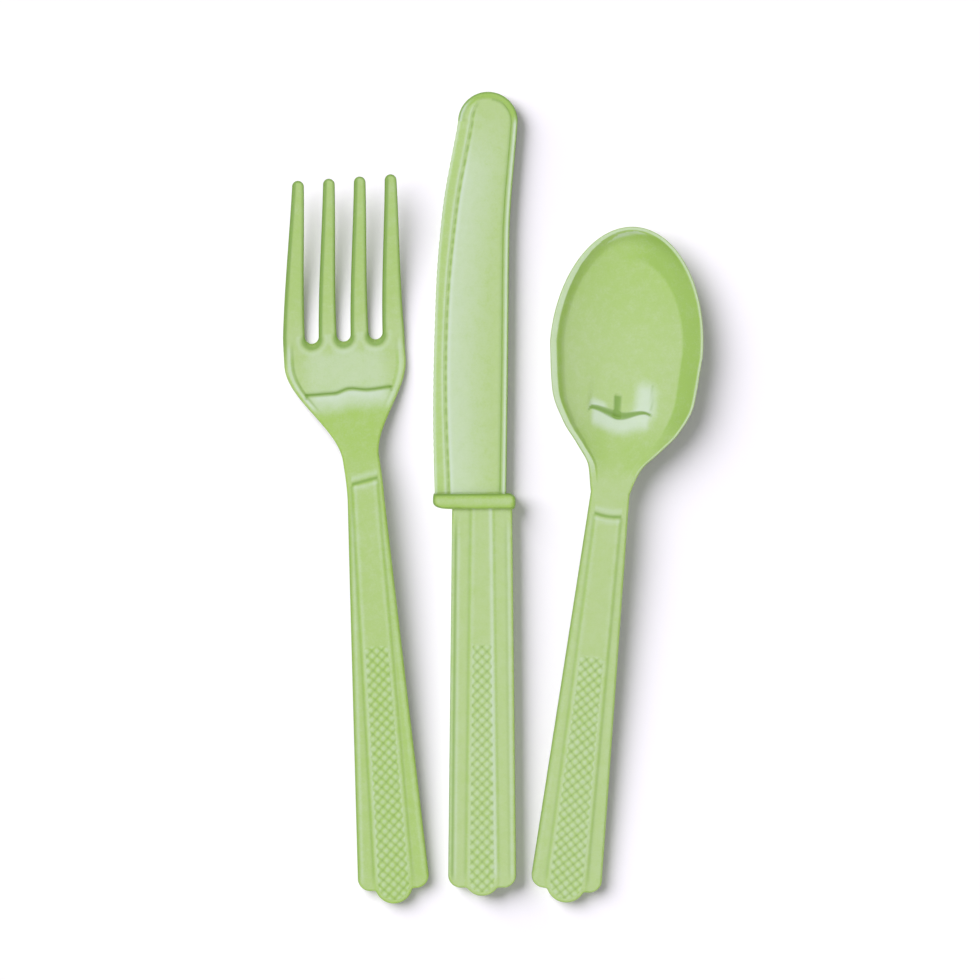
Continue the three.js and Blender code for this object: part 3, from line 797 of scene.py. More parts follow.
    def painted_light(x, s, tilt):
        """Painted shade and painted highlights of the knife: the handle's, the collar's slopes, and the
        blade's bevel and bead, with the glow, a painted highlight and painted reflection along the edge,
        the bevel and the bead.
        """
        on_handle, on_blade = s < d.handle + 0.2, s > collar_end - 0.2
        dark, pale, deep = handle_painted_light(d, x, s, tilt)
        dark, pale = on_handle * dark, on_handle * pale
        # The collar: painted shade on its slopes, a faint painted highlight along its middle, and deeper
        # colour.
        on_collar = ~on_handle & ~on_blade
        dark = dark + on_collar * ease(tilt, 0.4, 0.9) * 0.9
        pale = pale + on_collar * 0.1 * bump(s - d.handle - d.collar / 2, 0.6)
        deep = deep + on_collar * 0.35
        lower, foot = bevel_foot(s)
        from_edge, from_foot = x - lower, x - foot
        to_back = np.where(s > tip_at, d.tip_radius - np.hypot(x - d.tip_shift, s - tip_at), spine(s) - x)
        turn = np.degrees(np.arctan2(s - tip_at, x - d.tip_shift))
        round_tip = ease(s, tip_at - 1, tip_at + 1.5)
        # Painted shade on the blade: dashes in the groove at the bevel's foot, and lines beside the bead
        # and round the tip.
        line = 0.65 * bump(from_foot, 0.3) * dashes(s)
        on_spine = 0.6 * bump(to_back - 1.5, 0.5) + 0.7 * (1 - ease(to_back, 0.2, 0.5))
        on_tip = 0.7 * (1 - ease(to_back, 0.3, 0.6)) + 0.25 * (1 - ease(to_back, 1.3, 1.7))
        line = line + (1 - round_tip) * on_spine
        line = line + round_tip * on_tip
        line = line + round_tip * 0.5 * bump(to_back - 1.7, 0.3) * (turn < 80)
        # The glow is a painted highlight and painted reflection: bands at the cutting edge and at the
        # bevel's foot, fading across the blade, and along the bead.
        glow = 0.6 * bump(from_edge - 0.3, 0.35) + 0.5 * bump(from_foot + 0.75, 0.35)
        fading = 0.55 * (1 - ease(from_foot, 0.3, 1.6)) + 0.6 * (1 - ease(from_foot, 1, 12))
        fading = fading * (1 - 0.8 * ease(s, tip_at - 14, tip_at + 1))
        glow = glow + ease(from_foot, 0.2, 0.6) * fading
        glow = (glow + 0.9 * bump(to_back - 0.65, 0.35)) * (1 - round_tip * ease(turn, 150, 120))
        # Deeper colour, painted shade, on the bevel and round the tip's bead.
        band = 0.35 * between(from_edge, 0.9, 1.9, 0.5) * (1 - round_tip)
        band = band + round_tip * (1 - ease(to_back, 1.2, 1.7)) * (1 - ease(turn, 130, 160))
        deep = np.maximum(deep, on_blade * band)
        return dark + on_blade * line, pale + on_blade * glow, deep

    return skin.joined(), painted_light


# Spoon

def spoon_surface(d):
    """The spoon's closed surface: the bowl has a curved floor and a sloping wall inside a narrow flat rim,
    and a rounder belly below, and the neck runs down into it over a small crease."""
    bowl_at = d.handle + d.throat
    full_length = bowl_at + d.bowl
    neck_top = d.neck_rise + d.neck_depth
    arm_under = line_through([(0, 0), (d.handle, d.neck_rise)])
    arm_depth = line_through([(0, d.depth), (d.handle - d.hollow_short, d.depth), (d.handle, d.neck_depth)])
    rim = line_through([(d.handle, neck_top), (bowl_at, d.rim), (full_length, d.tip_rim)])
    drift = line_through([(0, 0), (d.handle, 0), (d.handle + d.throat_drift_at, d.throat_drift),
                          (bowl_at, 0), (full_length, d.tip_drift)])
    crease = line_through(SPOON_CREASE)
    shoulders = line_through([(d.handle, d.neck_width / 2)]
                             + [(d.handle + along * d.throat, lerp(d.neck_width, d.bowl_width, wide) / 2)
                                for along, wide in SHOULDERS]
                             + [(bowl_at, d.bowl_width / 2)])

    def half(s):
        """Half the width: the handle's taper, then the shoulders."""
        return np.where(s < d.handle, half_width(d, s), shoulders(s))

    def level(s):
        """Height of the handle's top, then of the bowl's rim."""
        return np.where(s < d.handle, arm_under(s) + arm_depth(s), rim(s))

    def in_bowl_ramp(s):
        """0 on the handle and 1 where the neck has run down into the bowl."""
        return ease(s, d.handle, d.handle + d.ramp)

    def thickness(s):
        """Depth of the handle's section, then the bowl's wall."""
        bowl = lerp(d.neck_depth, d.wall, in_bowl_ramp(s))
        return np.where(s < d.handle, arm_depth(s), bowl)

    def reach(x, s, lip):
        """Shares of the way from the bowl's middle: sideways, to the tip, and together to the lip."""
        off = (x - drift(s)) / half(s)
        past = np.maximum(0, s - bowl_at) / (d.bowl - lip)
        broad = lip * lerp(d.left_lip, 1, ease(off, -0.6, 0))
        return off, past, np.minimum(1, np.hypot(off * half(s) / (half(s) - broad), past))

    def dish(x, s):
        """Depth inside the bowl: a floor that sags as a parabola, and a wall that rises with a power of
        the way from the floor's edge to the lip."""
        off, past, out = reach(x, s, d.lip)
        across = lerp(d.left_floor, d.right_floor, ease(off, -0.7, 0.7))
        floor = lerp(across, d.tip_floor, ease(past, 0.4, 0.95))
        wall = np.clip((out - floor) / (1 - floor), 0, 1) ** 1.3
        sag = 1 - np.minimum(1, out / floor) ** 2
        return in_bowl_ramp(s) * (d.bowl_wall * (1 - wall) + (d.bowl_depth - d.bowl_wall) * sag)

    def belly(x, s):
        """Depth of the underside below the rim: 1 less a power of the way out."""
        out = reach(x, s, 0)[2]
        return in_bowl_ramp(s) * (d.rim - d.wall) * (1 - out**d.belly_power)

    def smile(x, s):
        """Depth of the smile-shaped crease, a step that fades towards the tip, and of the bar in it."""
        off = x - drift(s)
        line = s - crease(off)
        within = 1 - ease(np.abs(off + 0.5), 6.6, 7.8)
        slope = lerp(1.0, 0.35, np.clip(np.abs(off + 0.5) / 7, 0, 1))
        step = ease(line, -0.2, slope) - ease(line, slope, 9)
        bar = (1 - ease(np.abs(off + 1.2), 0.4, 0.9)) * between(line, 0.3, 4.8, 0.4)
        return within * d.smile * step + d.bar * bar

    def top(x, s):
        """The level and the panel, less the dish and the crease."""
        return level(s) + panel_relief(d, x, s) - dish(x, s) - smile(x, s)

    def bottom(x, s):
        """One thickness below the level, less the belly, raised inside the handle's hollow."""
        share = hollow_share(d, x, s, half(s))
        return level(s) - thickness(s) - belly(x, s) + share * (thickness(s) - WALL)

    def swayed(points):
        """Points moved sideways by the sway at their place along the spoon."""
        return points + np.stack([drift(points[:, 1]), 0 * points[:, 1]], 1)

    along = handle_stations(d, (d.knurl_stop + 0.5, 0.25), (d.panel_stop - 1.2, 0.9),
                            (d.panel_stop + 1.2, 0.12), (SPOON_CREASE_ROWS[0], 0.5),
                            (SPOON_CREASE_ROWS[1], 0.18), (bowl_at, 0.5))
    corner_cells = 46
    heart, radius = np.array([0, bowl_at]), np.array([d.bowl_width / 2, d.bowl])
    both = [np.stack([sign * half(along), along], 1) for sign in (-1, 1)]
    left = swayed(np.concatenate([both[0], arc(heart, radius, 180, 135, corner_cells)[1:]]))
    right = swayed(np.concatenate([both[1], arc(heart, radius, 0, 45, corner_cells)[1:]]))
    tip = swayed(arc(heart, radius, 135, 45, COLUMNS))
    front = handle_end(d, TOP_CELLS)
    outline = np.concatenate([front[:-1], right[:-1], tip[::-1][:-1], left[::-1][:-1]])
    normal = outward(outline, True)
    in_bowl = in_bowl_ramp(outline[:, 1])
    width = lerp(d.edge, 0.4, in_bowl)
    lip_inset = width + lerp(LIP, d.lip + 0.25, in_bowl)
    n = len(left)
    rows = np.concatenate([along, np.full(corner_cells, bowl_at)])
    row_half = half(rows)
    mix = ease(rows, d.panel_stop + 1, d.panel_stop + 14)[:, None]
    flat_share = np.linspace(0, 1, COLUMNS + 1)[None]
    to_rims = 0.35  # how much closer the columns lie at the bowl's rims
    flat_share = flat_share - to_rims * np.sin(2 * math.pi * flat_share) / (2 * math.pi)
    skin = Skin()
    inners = []
    layers = ((lip_inset, top_columns(d, row_half, rows, TOP_CELLS), top),
              (np.full(len(outline), UNDER_INSET), under_columns(row_half), bottom))
    for inset, share, height in layers:
        inner = outline - normal * inset[:, None]
        inners.append(inner)
        ring = np.concatenate([inner, inner[:1]])
        front_row = ring[: COLUMNS + 1]
        right_side = ring[COLUMNS : COLUMNS + n]
        tip_row = ring[COLUMNS + n - 1 : 2 * COLUMNS + n][::-1]
        left_side = ring[2 * COLUMNS + n - 1 :][::-1]
        share = lerp(share, flat_share, mix)
        flat = planform(front_row, left_side, right_side, share, tip_row, corner_cells)
        skin.add(lifted(flat, height), flipped=height is bottom)
    skin.add(edge_strip(inners[0], outline, normal, inners[1], top, bottom, edge_of(width, width, 2)),
             closed=True)

    def painted_light(x, s, tilt):
        """Painted shade and painted highlights of the spoon: the handle's, the smile with its bar and the
        painted highlights beside it, the rim and the wall.
        """
        dark, pale, deep = handle_painted_light(d, x, s, tilt)
        off = x - drift(s)
        dark = dark * (1 - ease(s, d.handle + 4, d.handle + 14))

        # The smile, thickest at its middle, the bar in it and a short line at its right end, in painted
        # shade, with pale patches of painted highlight and painted reflection beside them.
        line = s - crease(off)
        within = 1 - ease(np.abs(off + 0.5), 7, 7.8)
        thick = lerp(1.0, 0.35, np.clip(np.abs(off + 1.5) / 7, 0, 1))
        dark = dark + (1 - ease(np.abs(line - 0.4 * thick), 0.7 * thick, 1.4 * thick)) * within
        dark = dark + 1.1 * (1 - ease(np.abs(off + 1.2), 0.55, 0.9)) * between(line, 0, 4.6, 0.8)
        dark = dark + 0.4 * bump(off - 6.9, 0.25) * between(line, 1.5, 7, 0.8)
        pale = pale + 0.95 * between(off, 4.6, 6.2, 3) * between(line, 1.4, 5, 4)
        pale = pale + 0.7 * between(off, -7.0, -4.6, 1.6) * between(line, 1.0, 1.6, 1.2)
        pale = pale + 0.95 * between(off, -6.2, 5.6, 1.4) * between(line, -2.2, -0.9, 3)

        # The rim with a painted highlight and, inside it, the wall with painted shade, darker on the right.
        out = np.hypot(off / half(s), np.maximum(0, s - bowl_at) / d.bowl)
        in_bowl = ease(s, d.handle + 10, d.handle + 20)
        lee = ease(-off, -6, 6)
        lip = lerp(d.lip, d.lip * d.left_lip, lee)
        past_neck = ease(s, d.handle + 2, d.handle + 8)
        rim_line = past_neck * ease(out, 1 - (lip + 0.1) / half(s), 1 - (lip - 0.3) / half(s))
        wall = lerp(ease(out, 0.715, 0.755), ease(out, 0.83, 0.87), lee) * (1 - rim_line) * in_bowl
        dark = dark + 0.35 * wall * (1 - lee)
        pale = pale + 0.6 * rim_line * (tilt < 0.6)
        # Deeper colour on the bowl's floor, growing towards the tip.
        floor = in_bowl * (0.1 + 0.5 * ease(s - bowl_at, -4, 22))
        deep = lerp(np.maximum(deep * (1 - in_bowl), floor), lerp(1, 0.65, lee), wall)
        return dark, pale, deep

    return skin.joined(), painted_light


# Putting a surface into the scene

def lay(name, made, material):
    """A surface as an object: turned on the table, moved so that its box has the middle of the node's box,
    and set down on the node's lowest level."""
    (points, faces), painted_light = made
    facing = normals(points, faces)
    # How steep each face is, which sets the painted shade on slopes.
    tilt = np.sqrt(np.clip(1 - facing[:, 2] ** 2, 0, 1))
    above = ease(facing[:, 2], -0.1, 0.2)
    dark, pale, deep = painted_light(points[:, 0], points[:, 1], tilt)
    low, high = (np.array(corner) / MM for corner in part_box(name))
    across, along = math.cos(TURN[name]), math.sin(TURN[name])
    placed = np.stack([points[:, 0] * across - points[:, 1] * along,
                       points[:, 0] * along + points[:, 1] * across, points[:, 2]], 1)
    middle = (placed.min(0) + placed.max(0)) / 2
    shift = (low + high) / 2 - middle
    shift[2] = low[2] - placed[:, 2].min()
    mesh = bpy.data.meshes.new(f"{name}_moulding")
    mesh.vertices.add(len(placed))
    mesh.vertices.foreach_set("co", ((placed + shift) * MM).astype(np.float32).ravel())
    mesh.loops.add(faces.size)
    mesh.loops.foreach_set("vertex_index", faces.astype(np.int32).ravel())
    mesh.polygons.add(len(faces))
    mesh.polygons.foreach_set("loop_start", np.arange(0, faces.size, 4, dtype=np.int32))
    mesh.update(calc_edges=True)
    mesh.validate()
    mesh.polygons.foreach_set("use_smooth", np.ones(len(faces), bool))
    # The painted shade and painted highlights stay on faces that look up; the deeper colour is stored for
    # every face.
    for label, values in (("dark", dark * above), ("pale", pale * above), ("deep", deep)):
        mesh.attributes.new(label, "FLOAT", "POINT").data.foreach_set("value", values.astype(np.float32))
    mesh.materials.append(material)
    piece = bpy.data.objects.new(f"{name}_moulding", mesh)
    bpy.context.scene.collection.objects.link(piece)
    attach(piece, "root")
    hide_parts(name)
    return piece


# Materials

def pick_socket(sockets, key):
    """The first socket with this number, identifier or name."""
    return next(s for i, s in enumerate(sockets) if key in (i, s.identifier, s.name))


class Wire:
    """A socket that takes part in sums, such as 1 - mask, and a maker of nodes."""

    def __init__(self, tree, socket=None):
        self.tree, self.socket = tree, socket

    def node(self, kind, settings=(), inputs=(), output=0):
        """A new node: its type, its settings by name, its inputs by name or number, and which output."""
        made = self.tree.nodes.new(kind)
        for name, value in dict(settings).items():
            setattr(made, name, value)
        for key, value in dict(inputs).items():
            socket = pick_socket(made.inputs, key)
            if isinstance(value, Wire):
                self.tree.links.new(value.socket, socket)
            else:
                socket.default_value = value
        return Wire(self.tree, pick_socket(made.outputs, output) if len(made.outputs) else None)

    def sum(self, operation, a, b, clamp=False):
        return self.node("ShaderNodeMath", {"operation": operation, "use_clamp": clamp}, {0: a, 1: b})

    def __add__(self, other):
        return self.sum("ADD", self, other)

    def __sub__(self, other):
        return self.sum("SUBTRACT", self, other)

    def __rsub__(self, other):
        return self.sum("SUBTRACT", other, self)

    def __mul__(self, other):
        return self.sum("MULTIPLY", self, other)

    __radd__, __rmul__ = __add__, __mul__

    def clamped(self):
        """The value held between 0 and 1."""
        return self.sum("ADD", self, 0.0, clamp=True)

    def mixed(self, share, a, b):
        """A colour a share of the way from a to b."""
        return self.node("ShaderNodeMix", {"data_type": "RGBA"},
                         {"Factor_Float": share, "A_Color": a, "B_Color": b}, "Result_Color")


def empty_tree(owner):
    """The node tree of a material or world, cleared, as a maker of nodes."""
    owner.use_nodes = True
    owner.node_tree.nodes.clear()
    return Wire(owner.node_tree)


def green_plastic(look):
    """Pale green moulded plastic with painted shade, darker in creases and deeper on slopes, and painted
    highlights, paler on ridges; faintly mottled, with a fine orange-peel surface."""
    material = bpy.data.materials.new("moulded_green")
    wire = empty_tree(material)
    place = wire.node("ShaderNodeTexCoord", output="Object")
    dark, pale, deep = (wire.node("ShaderNodeAttribute", {"attribute_name": name}, output="Fac")
                        for name in ("dark", "pale", "deep"))
    cloud = wire.node("ShaderNodeTexNoise", {}, {"Vector": place, "Scale": 380.0, "Detail": 5.0,
                                                 "Roughness": 0.7})
    grain = wire.node("ShaderNodeTexNoise", {}, {"Vector": place, "Scale": 2400.0, "Detail": 2.0})
    mottle = (cloud - 0.5) * 0.9 + (grain - 0.5) * 0.45
    deep = (deep + mottle).clamped()
    # Deeper green: painted shade on slopes, with the mottled tone.
    green = wire.mixed(deep, (*look.green, 1), (*look.deep_tone_and_painted_shade_green, 1))
    # Paler green: painted highlights on ridges.
    green = wire.mixed((pale - mottle * 0.4).clamped(), green, (*look.painted_highlight_green, 1))
    # Dark green: painted shade in creases and grooves.
    green = wire.mixed((dark * 0.9).clamped(), green, (*look.painted_shade_green, 1))
    peel = wire.node("ShaderNodeBump", {}, {"Strength": 0.12, "Distance": 0.0002, "Height": grain + cloud})
    shader = wire.node("ShaderNodeBsdfPrincipled", {}, {
        "Base Color": green,
        "Roughness": 0.26 + cloud * 0.12,
        "IOR": 1.5,
        "Subsurface Weight": 0.25,
        "Subsurface Radius": (0.9, 1.0, 0.5),
        "Subsurface Scale": 0.0015,
        "Normal": peel,
    })
    wire.node("ShaderNodeOutputMaterial", {}, {"Surface": shader})
    return material


def white_table(look):
    """A white table that keeps the shadows near the pieces and turns to plain white further out."""
    material = bpy.data.materials.new("white_table")
    wire = empty_tree(material)
    place = wire.node("ShaderNodeTexCoord", output="Object")
    away = wire.node("ShaderNodeVectorMath", {"operation": "LENGTH"}, {0: place}, "Value")
    far = ((away - FADE_FROM) * (1 / FADE_OVER)).clamped()
    rays = wire.node("ShaderNodeLightPath")
    seen = Wire(wire.tree, rays.socket.node.outputs["Is Camera Ray"])
    board = wire.node("ShaderNodeBsdfDiffuse", {}, {"Color": (*look.table, 1)})
    lift = wire.node("ShaderNodeEmission", {}, {"Color": WHITE, "Strength": look.table_lift})
    glow = wire.node("ShaderNodeEmission", {}, {"Color": WHITE, "Strength": 1.0})
    nothing = wire.node("ShaderNodeEmission", {}, {"Strength": 0.0})
    share = wire.node("ShaderNodeMixShader", {}, {0: seen, 1: nothing, 2: lift})
    near = wire.node("ShaderNodeAddShader", {}, {0: board, 1: share})
    shader = wire.node("ShaderNodeMixShader", {}, {0: far * seen, 1: near, 2: glow})
    wire.node("ShaderNodeOutputMaterial", {}, {"Surface": shader})
    return material


def white_room(look):
    """Surroundings that are white to look at and in reflections, and light the pieces only a little."""
    world = bpy.data.worlds.new("white_room")
    wire = empty_tree(world)
    rays = wire.node("ShaderNodeLightPath").socket.node.outputs
    seen = [Wire(wire.tree, rays[name]) for name in
            ("Is Camera Ray", "Is Glossy Ray", "Is Transmission Ray")]
    shown = (seen[0] + seen[1] + seen[2]).clamped()
    strength = look.fill_light + shown * (1 - look.fill_light)
    sky = wire.node("ShaderNodeBackground", {}, {"Color": WHITE, "Strength": strength})
    wire.node("ShaderNodeOutputWorld", {}, {"Surface": sky})
    return world


# Settings

def length(name, description, millimetres):
    """A length property with its default in millimetres."""
    return FloatProperty(name=name, description=description, default=millimetres * MM, unit="LENGTH",
                         precision=5)


def colour(name, description, value):
    """A colour property."""
    return FloatVectorProperty(name=name, description=description, default=value, subtype="COLOR",
                               size=3, min=0, max=1)


def sides(name, description, pair):
    """A pair of numbers, for the left and the right side."""
    return FloatVectorProperty(name=name, description=description, default=pair, size=2)


def number(name, description, value):
    """A plain number."""
    return FloatProperty(name=name, description=description, default=value)


def in_mm(settings):
    """The settings of a piece with its lengths in millimetres."""
    values = {}
    for key, prop in settings.bl_rna.properties.items():
        if prop.type == "FLOAT":
            value = getattr(settings, key)
            values[key] = value / MM if prop.unit == "LENGTH" else value
    return SimpleNamespace(**values)


# Settings of a handle that differ from piece to piece: kind, label and description.
HANDLE_SETTINGS = {
    # The first eight set painted shade, painted highlights and deeper flanks on a handle.
    "foot_lines": (sides, "Foot lines", "Dark lines at the foot of the centre panel"),
    "crest_lines": (sides, "Crest lines", "Pale lines on the edges of the centre panel"),
    "rim_lines": (sides, "Rim lines", "Dark lines beside the outer edges"),
    "rim_at": (sides, "Rim line places", "From the outer edges to the dark lines, in millimetres"),
    "rim_crests": (sides, "Rim crests", "Pale lines beside the outer edges"),
    "crest_at": (sides, "Rim crest places", "From the outer edges to the pale lines, in millimetres"),
    "lip_pale": (sides, "Pale lips", "Paleness of the outer edges"),
    "flank_deep": (sides, "Deep flanks", "Depth of colour of the flanks"),
    "tongue": (length, "Tongue", "Nose of the centre panel past the shoulders"),
    "nose_radius": (length, "Nose radius", "Radius of the nose"),
    "handle": (length, "Handle", "Nose to the neck or collar"),
    "end_width": (length, "End width", "Width of the handle's end"),
    "neck_width": (length, "Neck width", "Width at the neck or collar"),
    "panel_end": (length, "Panel end width", "Width of the centre panel at its end"),
    "panel_neck": (length, "Panel neck width", "Width of the centre panel at the neck or collar"),
    "panel_stop": (length, "Panel stop", "Nose to the end of the centre panel"),
    "panel_tilt": (number, "Panel tilt", "Slant of the end of the centre panel"),
    "panel_sag": (number, "Panel sag", "Bend of the end of the centre panel"),
    "knurl_stop": (length, "Grip length", "Nose to the end of the grip"),
    "hollow_short": (length, "Hollow short", "End of the full hollow before the neck or collar"),
    "hollow_ramp": (length, "Hollow ramp", "Length over which the hollow runs out"),
}


def own_handle(**values):
    """A base class with the settings of one piece's handle."""
    made = {}
    for key, (kind, name, description) in HANDLE_SETTINGS.items():
        made[key] = kind(name, description, values[key])
    return type("OwnHandle", (), {"__annotations__": made})


class HandleSettings:
    """What the handles of all three pieces have."""

    depth: length("Depth", "From the rim below to the flanks", 3.6)
    panel_rise: length("Panel rise", "Centre panel above the flanks", 0.22)
    edge: length("Edge", "Rounding of the outer edge", 0.6)
    knurl_pitch: length("Pyramid spacing", "Between the tops of the grip's pyramids", 2.3)
    knurl_height: length("Pyramid height", "Height of the grip's pyramids", 0.28)
    knurl_border: length("Grip border", "Plain border of the grip", 0.7)
    # Painted shade in the grip's grooves and across the panel's end, and painted highlights on the
    # pyramids' tops.
    groove_line: number("Groove line", "Dark lines in the grooves of the grip", 0.7)
    top_line: number("Pyramid tops", "Paleness of the grip's pyramids", 0.36)
    end_line: number("Panel end line", "Dark line across the end of the centre panel", 0.95)


ForkHandle = own_handle(
    foot_lines=(0.4, 0.25), crest_lines=(0.3, 0.2), rim_lines=(0.55, 0.25), rim_at=(0.3, 0.3),
    rim_crests=(0.35, 0.2), crest_at=(1.1, 1.1), lip_pale=(0, 0), flank_deep=(0.05, 0.3), tongue=3.3,
    nose_radius=4.45, handle=96, end_width=17, neck_width=8.6, panel_end=9.1, panel_neck=5.9,
    panel_stop=99.65, panel_tilt=0.2, panel_sag=0.0, knurl_stop=61, hollow_short=16, hollow_ramp=14,
)


class ForkSettings(ForkHandle, HandleSettings, bpy.types.PropertyGroup):
    """Sizes of the fork."""

    neck: length("Neck", "Length of the neck", 9)
    flare: length("Flare", "Neck to full width", 23)
    palm: length("Palm", "Full width to the slot roots", 5)
    tines: length("Tines", "Slot roots to the tips", 38)
    head_width: length("Head width", "Width of the palm", 28.7)
    tips_width: length("Tips width", "Width over the tips", 24.4)
    outer_extra: length("Outer tines", "Outer tines are wider by this", 0.92)
    slot_root: length("Slot root", "Width of a slot at its root", 3.3)
    tine_tip: length("Tine tip", "Width of a tine at its tip", 2.7)
    neck_rise: length("Neck rise", "Underside of the neck above the table", 4.8)
    tip_rise: length("Tip rise", "Underside of the tips above the table", 8.5)
    neck_depth: length("Neck depth", "Thickness of the neck", 3)
    plate: length("Plate", "Thickness of the palm", 1.9)
    tip_plate: length("Tip plate", "Thickness of the tips", 1.4)
    palm_drift: length("Palm sway", "Sway of the palm to the right", -2.8)
    tip_drift: length("Tip sway", "Sway of the tips to the right", 0.3)
    rim: length("Palm rim", "Width of the raised rim beside the palm", 1.9)
    dish: length("Palm depth", "Depth of the palm below its rim", 0.4)
    left_slope: length("Left slopes", "Width of slopes that face left", 0.75)
    right_slope: length("Right slopes", "Width of slopes that face right", 0.4)
    root_slope: length("Root slopes", "Width of the slopes at the slot roots", 1.5)
    tip_slope: number("Tip slopes", "Share of the slopes' width that is left at the tips", 0.62)


KnifeHandle = own_handle(
    foot_lines=(0.3, 0.05), crest_lines=(0.2, 0.6), rim_lines=(0.75, 0.25), rim_at=(0.95, 1.6),
    rim_crests=(0.35, 0.4), crest_at=(1.65, 1.0), lip_pale=(0.5, 0), flank_deep=(0, 0), tongue=1.9,
    nose_radius=4.3, handle=91.1, end_width=16.1, neck_width=14.2, panel_end=7.8, panel_neck=5.2,
    panel_stop=95, panel_tilt=0.0, panel_sag=0.0, knurl_stop=59.4, hollow_short=5.1, hollow_ramp=3,
)


class KnifeSettings(KnifeHandle, HandleSettings, bpy.types.PropertyGroup):
    """Sizes of the knife."""

    collar: length("Collar", "Length of the collar", 3.8)
    collar_left: length("Collar left", "Reach of the collar to the left", 11.6)
    collar_right: length("Collar right", "Reach of the collar to the right", 7.9)
    collar_height: length("Collar height", "Height of the collar", 4.9)
    collar_edge: length("Collar edge", "Rounding of the collar's ends", 1.2)
    collar_power: number("Collar squareness", "2 is a round section, more is squarer", 2.6)
    blade: length("Blade", "Collar to tip", 94.6)
    blade_middle: length("Blade height", "Height of the blade's middle plane", 1.9)
    blade_plate: length("Blade plate", "Thickness of the blade", 1.5)
    edge_plate: length("Edge plate", "Thickness at the cutting edge", 0.5)
    bevel: length("Bevel", "Width of the bevel", 3.4)
    crown: length("Crown", "Fall of the blade beside the bevel", 0.16)
    groove: length("Groove", "Depth of the dashed groove at the bevel's foot", 0.1)
    rim_width: length("Bead width", "Width of the bead along the spine", 1.6)
    rim_plate: length("Bead plate", "Thickness of the bead", 2.1)
    tip_radius: length("Tip radius", "Radius of the tip", 7.05)
    tip_shift: length("Tip shift", "Middle of the tip to the right", 1.35)
    teeth_from: length("Teeth from", "Collar to the first tooth", 8)
    tooth_pitch: length("Tooth spacing", "Length of a tooth", 1.7)
    tooth_depth: length("Tooth depth", "Depth of a tooth", 0.07)


SpoonHandle = own_handle(
    foot_lines=(0.3, 0.35), crest_lines=(0.15, 0.15), rim_lines=(0.4, 0.25), rim_at=(0.3, 0.25),
    rim_crests=(0.1, 0.05), crest_at=(1.1, 1.1), lip_pale=(0, 0), flank_deep=(0.1, 0.0), tongue=2.9,
    nose_radius=4.7, handle=97, end_width=16.9, neck_width=9.1, panel_end=9.7, panel_neck=6.1,
    panel_stop=91.4, panel_tilt=-0.04, panel_sag=0.035, knurl_stop=58.5, hollow_short=19,
    hollow_ramp=14,
)


class SpoonSettings(SpoonHandle, HandleSettings, bpy.types.PropertyGroup):
    """Sizes of the spoon."""

    throat: length("Throat", "Neck to the widest part of the bowl", 34)
    bowl: length("Bowl", "Widest part to the tip", 28.8)
    bowl_width: length("Bowl width", "Width of the bowl", 36)
    neck_rise: length("Neck rise", "Underside of the neck above the table", 5.2)
    neck_depth: length("Neck depth", "Thickness of the neck", 3)
    rim: length("Rim", "Height of the bowl's rim", 8.6)
    tip_rim: length("Tip rim", "Height of the rim at the tip", 7.8)
    wall: length("Wall", "Thickness of the bowl", 1.5)
    bowl_depth: length("Bowl depth", "Depth of the bowl's middle below its rim", 4.8)
    bowl_wall: length("Bowl wall", "Depth of the wall inside the rim", 2.0)
    belly_power: number("Belly", "2 is a round underside, more is squarer", 2.7)
    smile: length("Smile", "Depth of the crease across the bowl", 0.4)
    bar: length("Bar", "Depth of the short bar in the crease", 0.2)
    ramp: length("Ramp", "Length over which the neck runs down to the bowl's floor", 22)
    left_floor: number("Left floor", "Share of the way to the left rim at which the floor ends", 0.885)
    right_floor: number("Right floor", "Share of the way to the right rim at which the floor ends", 0.75)
    tip_floor: number("Tip floor", "Share of the way to the tip's rim at which the floor ends", 0.885)
    lip: length("Lip", "Width of the flat rim", 0.7)
    left_lip: number("Left lip", "How many times wider the rim is on the left", 2.2)
    throat_drift: length("Throat sway", "Sway of the shoulders to the right", 0.8)
    throat_drift_at: length("Throat sway place", "Neck to the most swayed place", 13)
    tip_drift: length("Tip sway", "Sway of the tip to the right", -0.6)


class LookSettings(bpy.types.PropertyGroup):
    """Colours of the plastic and the light on it."""

    green: colour("Green", "Colour of level faces", (0.395, 0.53, 0.215))
    # Painted shade on slopes, and a deeper tone.
    deep_tone_and_painted_shade_green: colour("Deep green", "Colour of slopes", (0.315, 0.495, 0.08))
    # Painted shade in creases and grooves.
    painted_shade_green: colour("Dark green", "Colour of creases", (0.172, 0.315, 0.04))
    # Painted highlights on ridges.
    painted_highlight_green: colour("Pale green", "Colour of ridges", (0.54, 0.645, 0.5))
    table: colour("Table", "Colour of the table", (0.9, 0.865, 0.945))
    table_lift: number("Table lift", "Light added to the table as the camera sees it", 0.12)
    table_light: number("Table light", "Strength of the light that casts the shadows", 2.6)
    soft_light: number("Soft light", "Strength of the light on the pieces", 2.85)
    fill_light: number("Fill light", "Strength of the light from all round", 0.2)


# Operators

class AddFork(bpy.types.Operator):
    """Adds the fork"""

    bl_idname = "cutlery.add_fork"
    bl_label = "Fork"

    def execute(self, context):
        lay("fork", fork_surface(in_mm(context.scene.cutlery_fork)), plastic(context))
        return {"FINISHED"}


class AddKnife(bpy.types.Operator):
    """Adds the knife"""

    bl_idname = "cutlery.add_knife"
    bl_label = "Knife"

    def execute(self, context):
        lay("knife", knife_surface(in_mm(context.scene.cutlery_knife)), plastic(context))
        return {"FINISHED"}


class AddSpoon(bpy.types.Operator):
    """Adds the spoon"""

    bl_idname = "cutlery.add_spoon"
    bl_label = "Spoon"

    def execute(self, context):
        lay("spoon", spoon_surface(in_mm(context.scene.cutlery_spoon)), plastic(context))
        return {"FINISHED"}


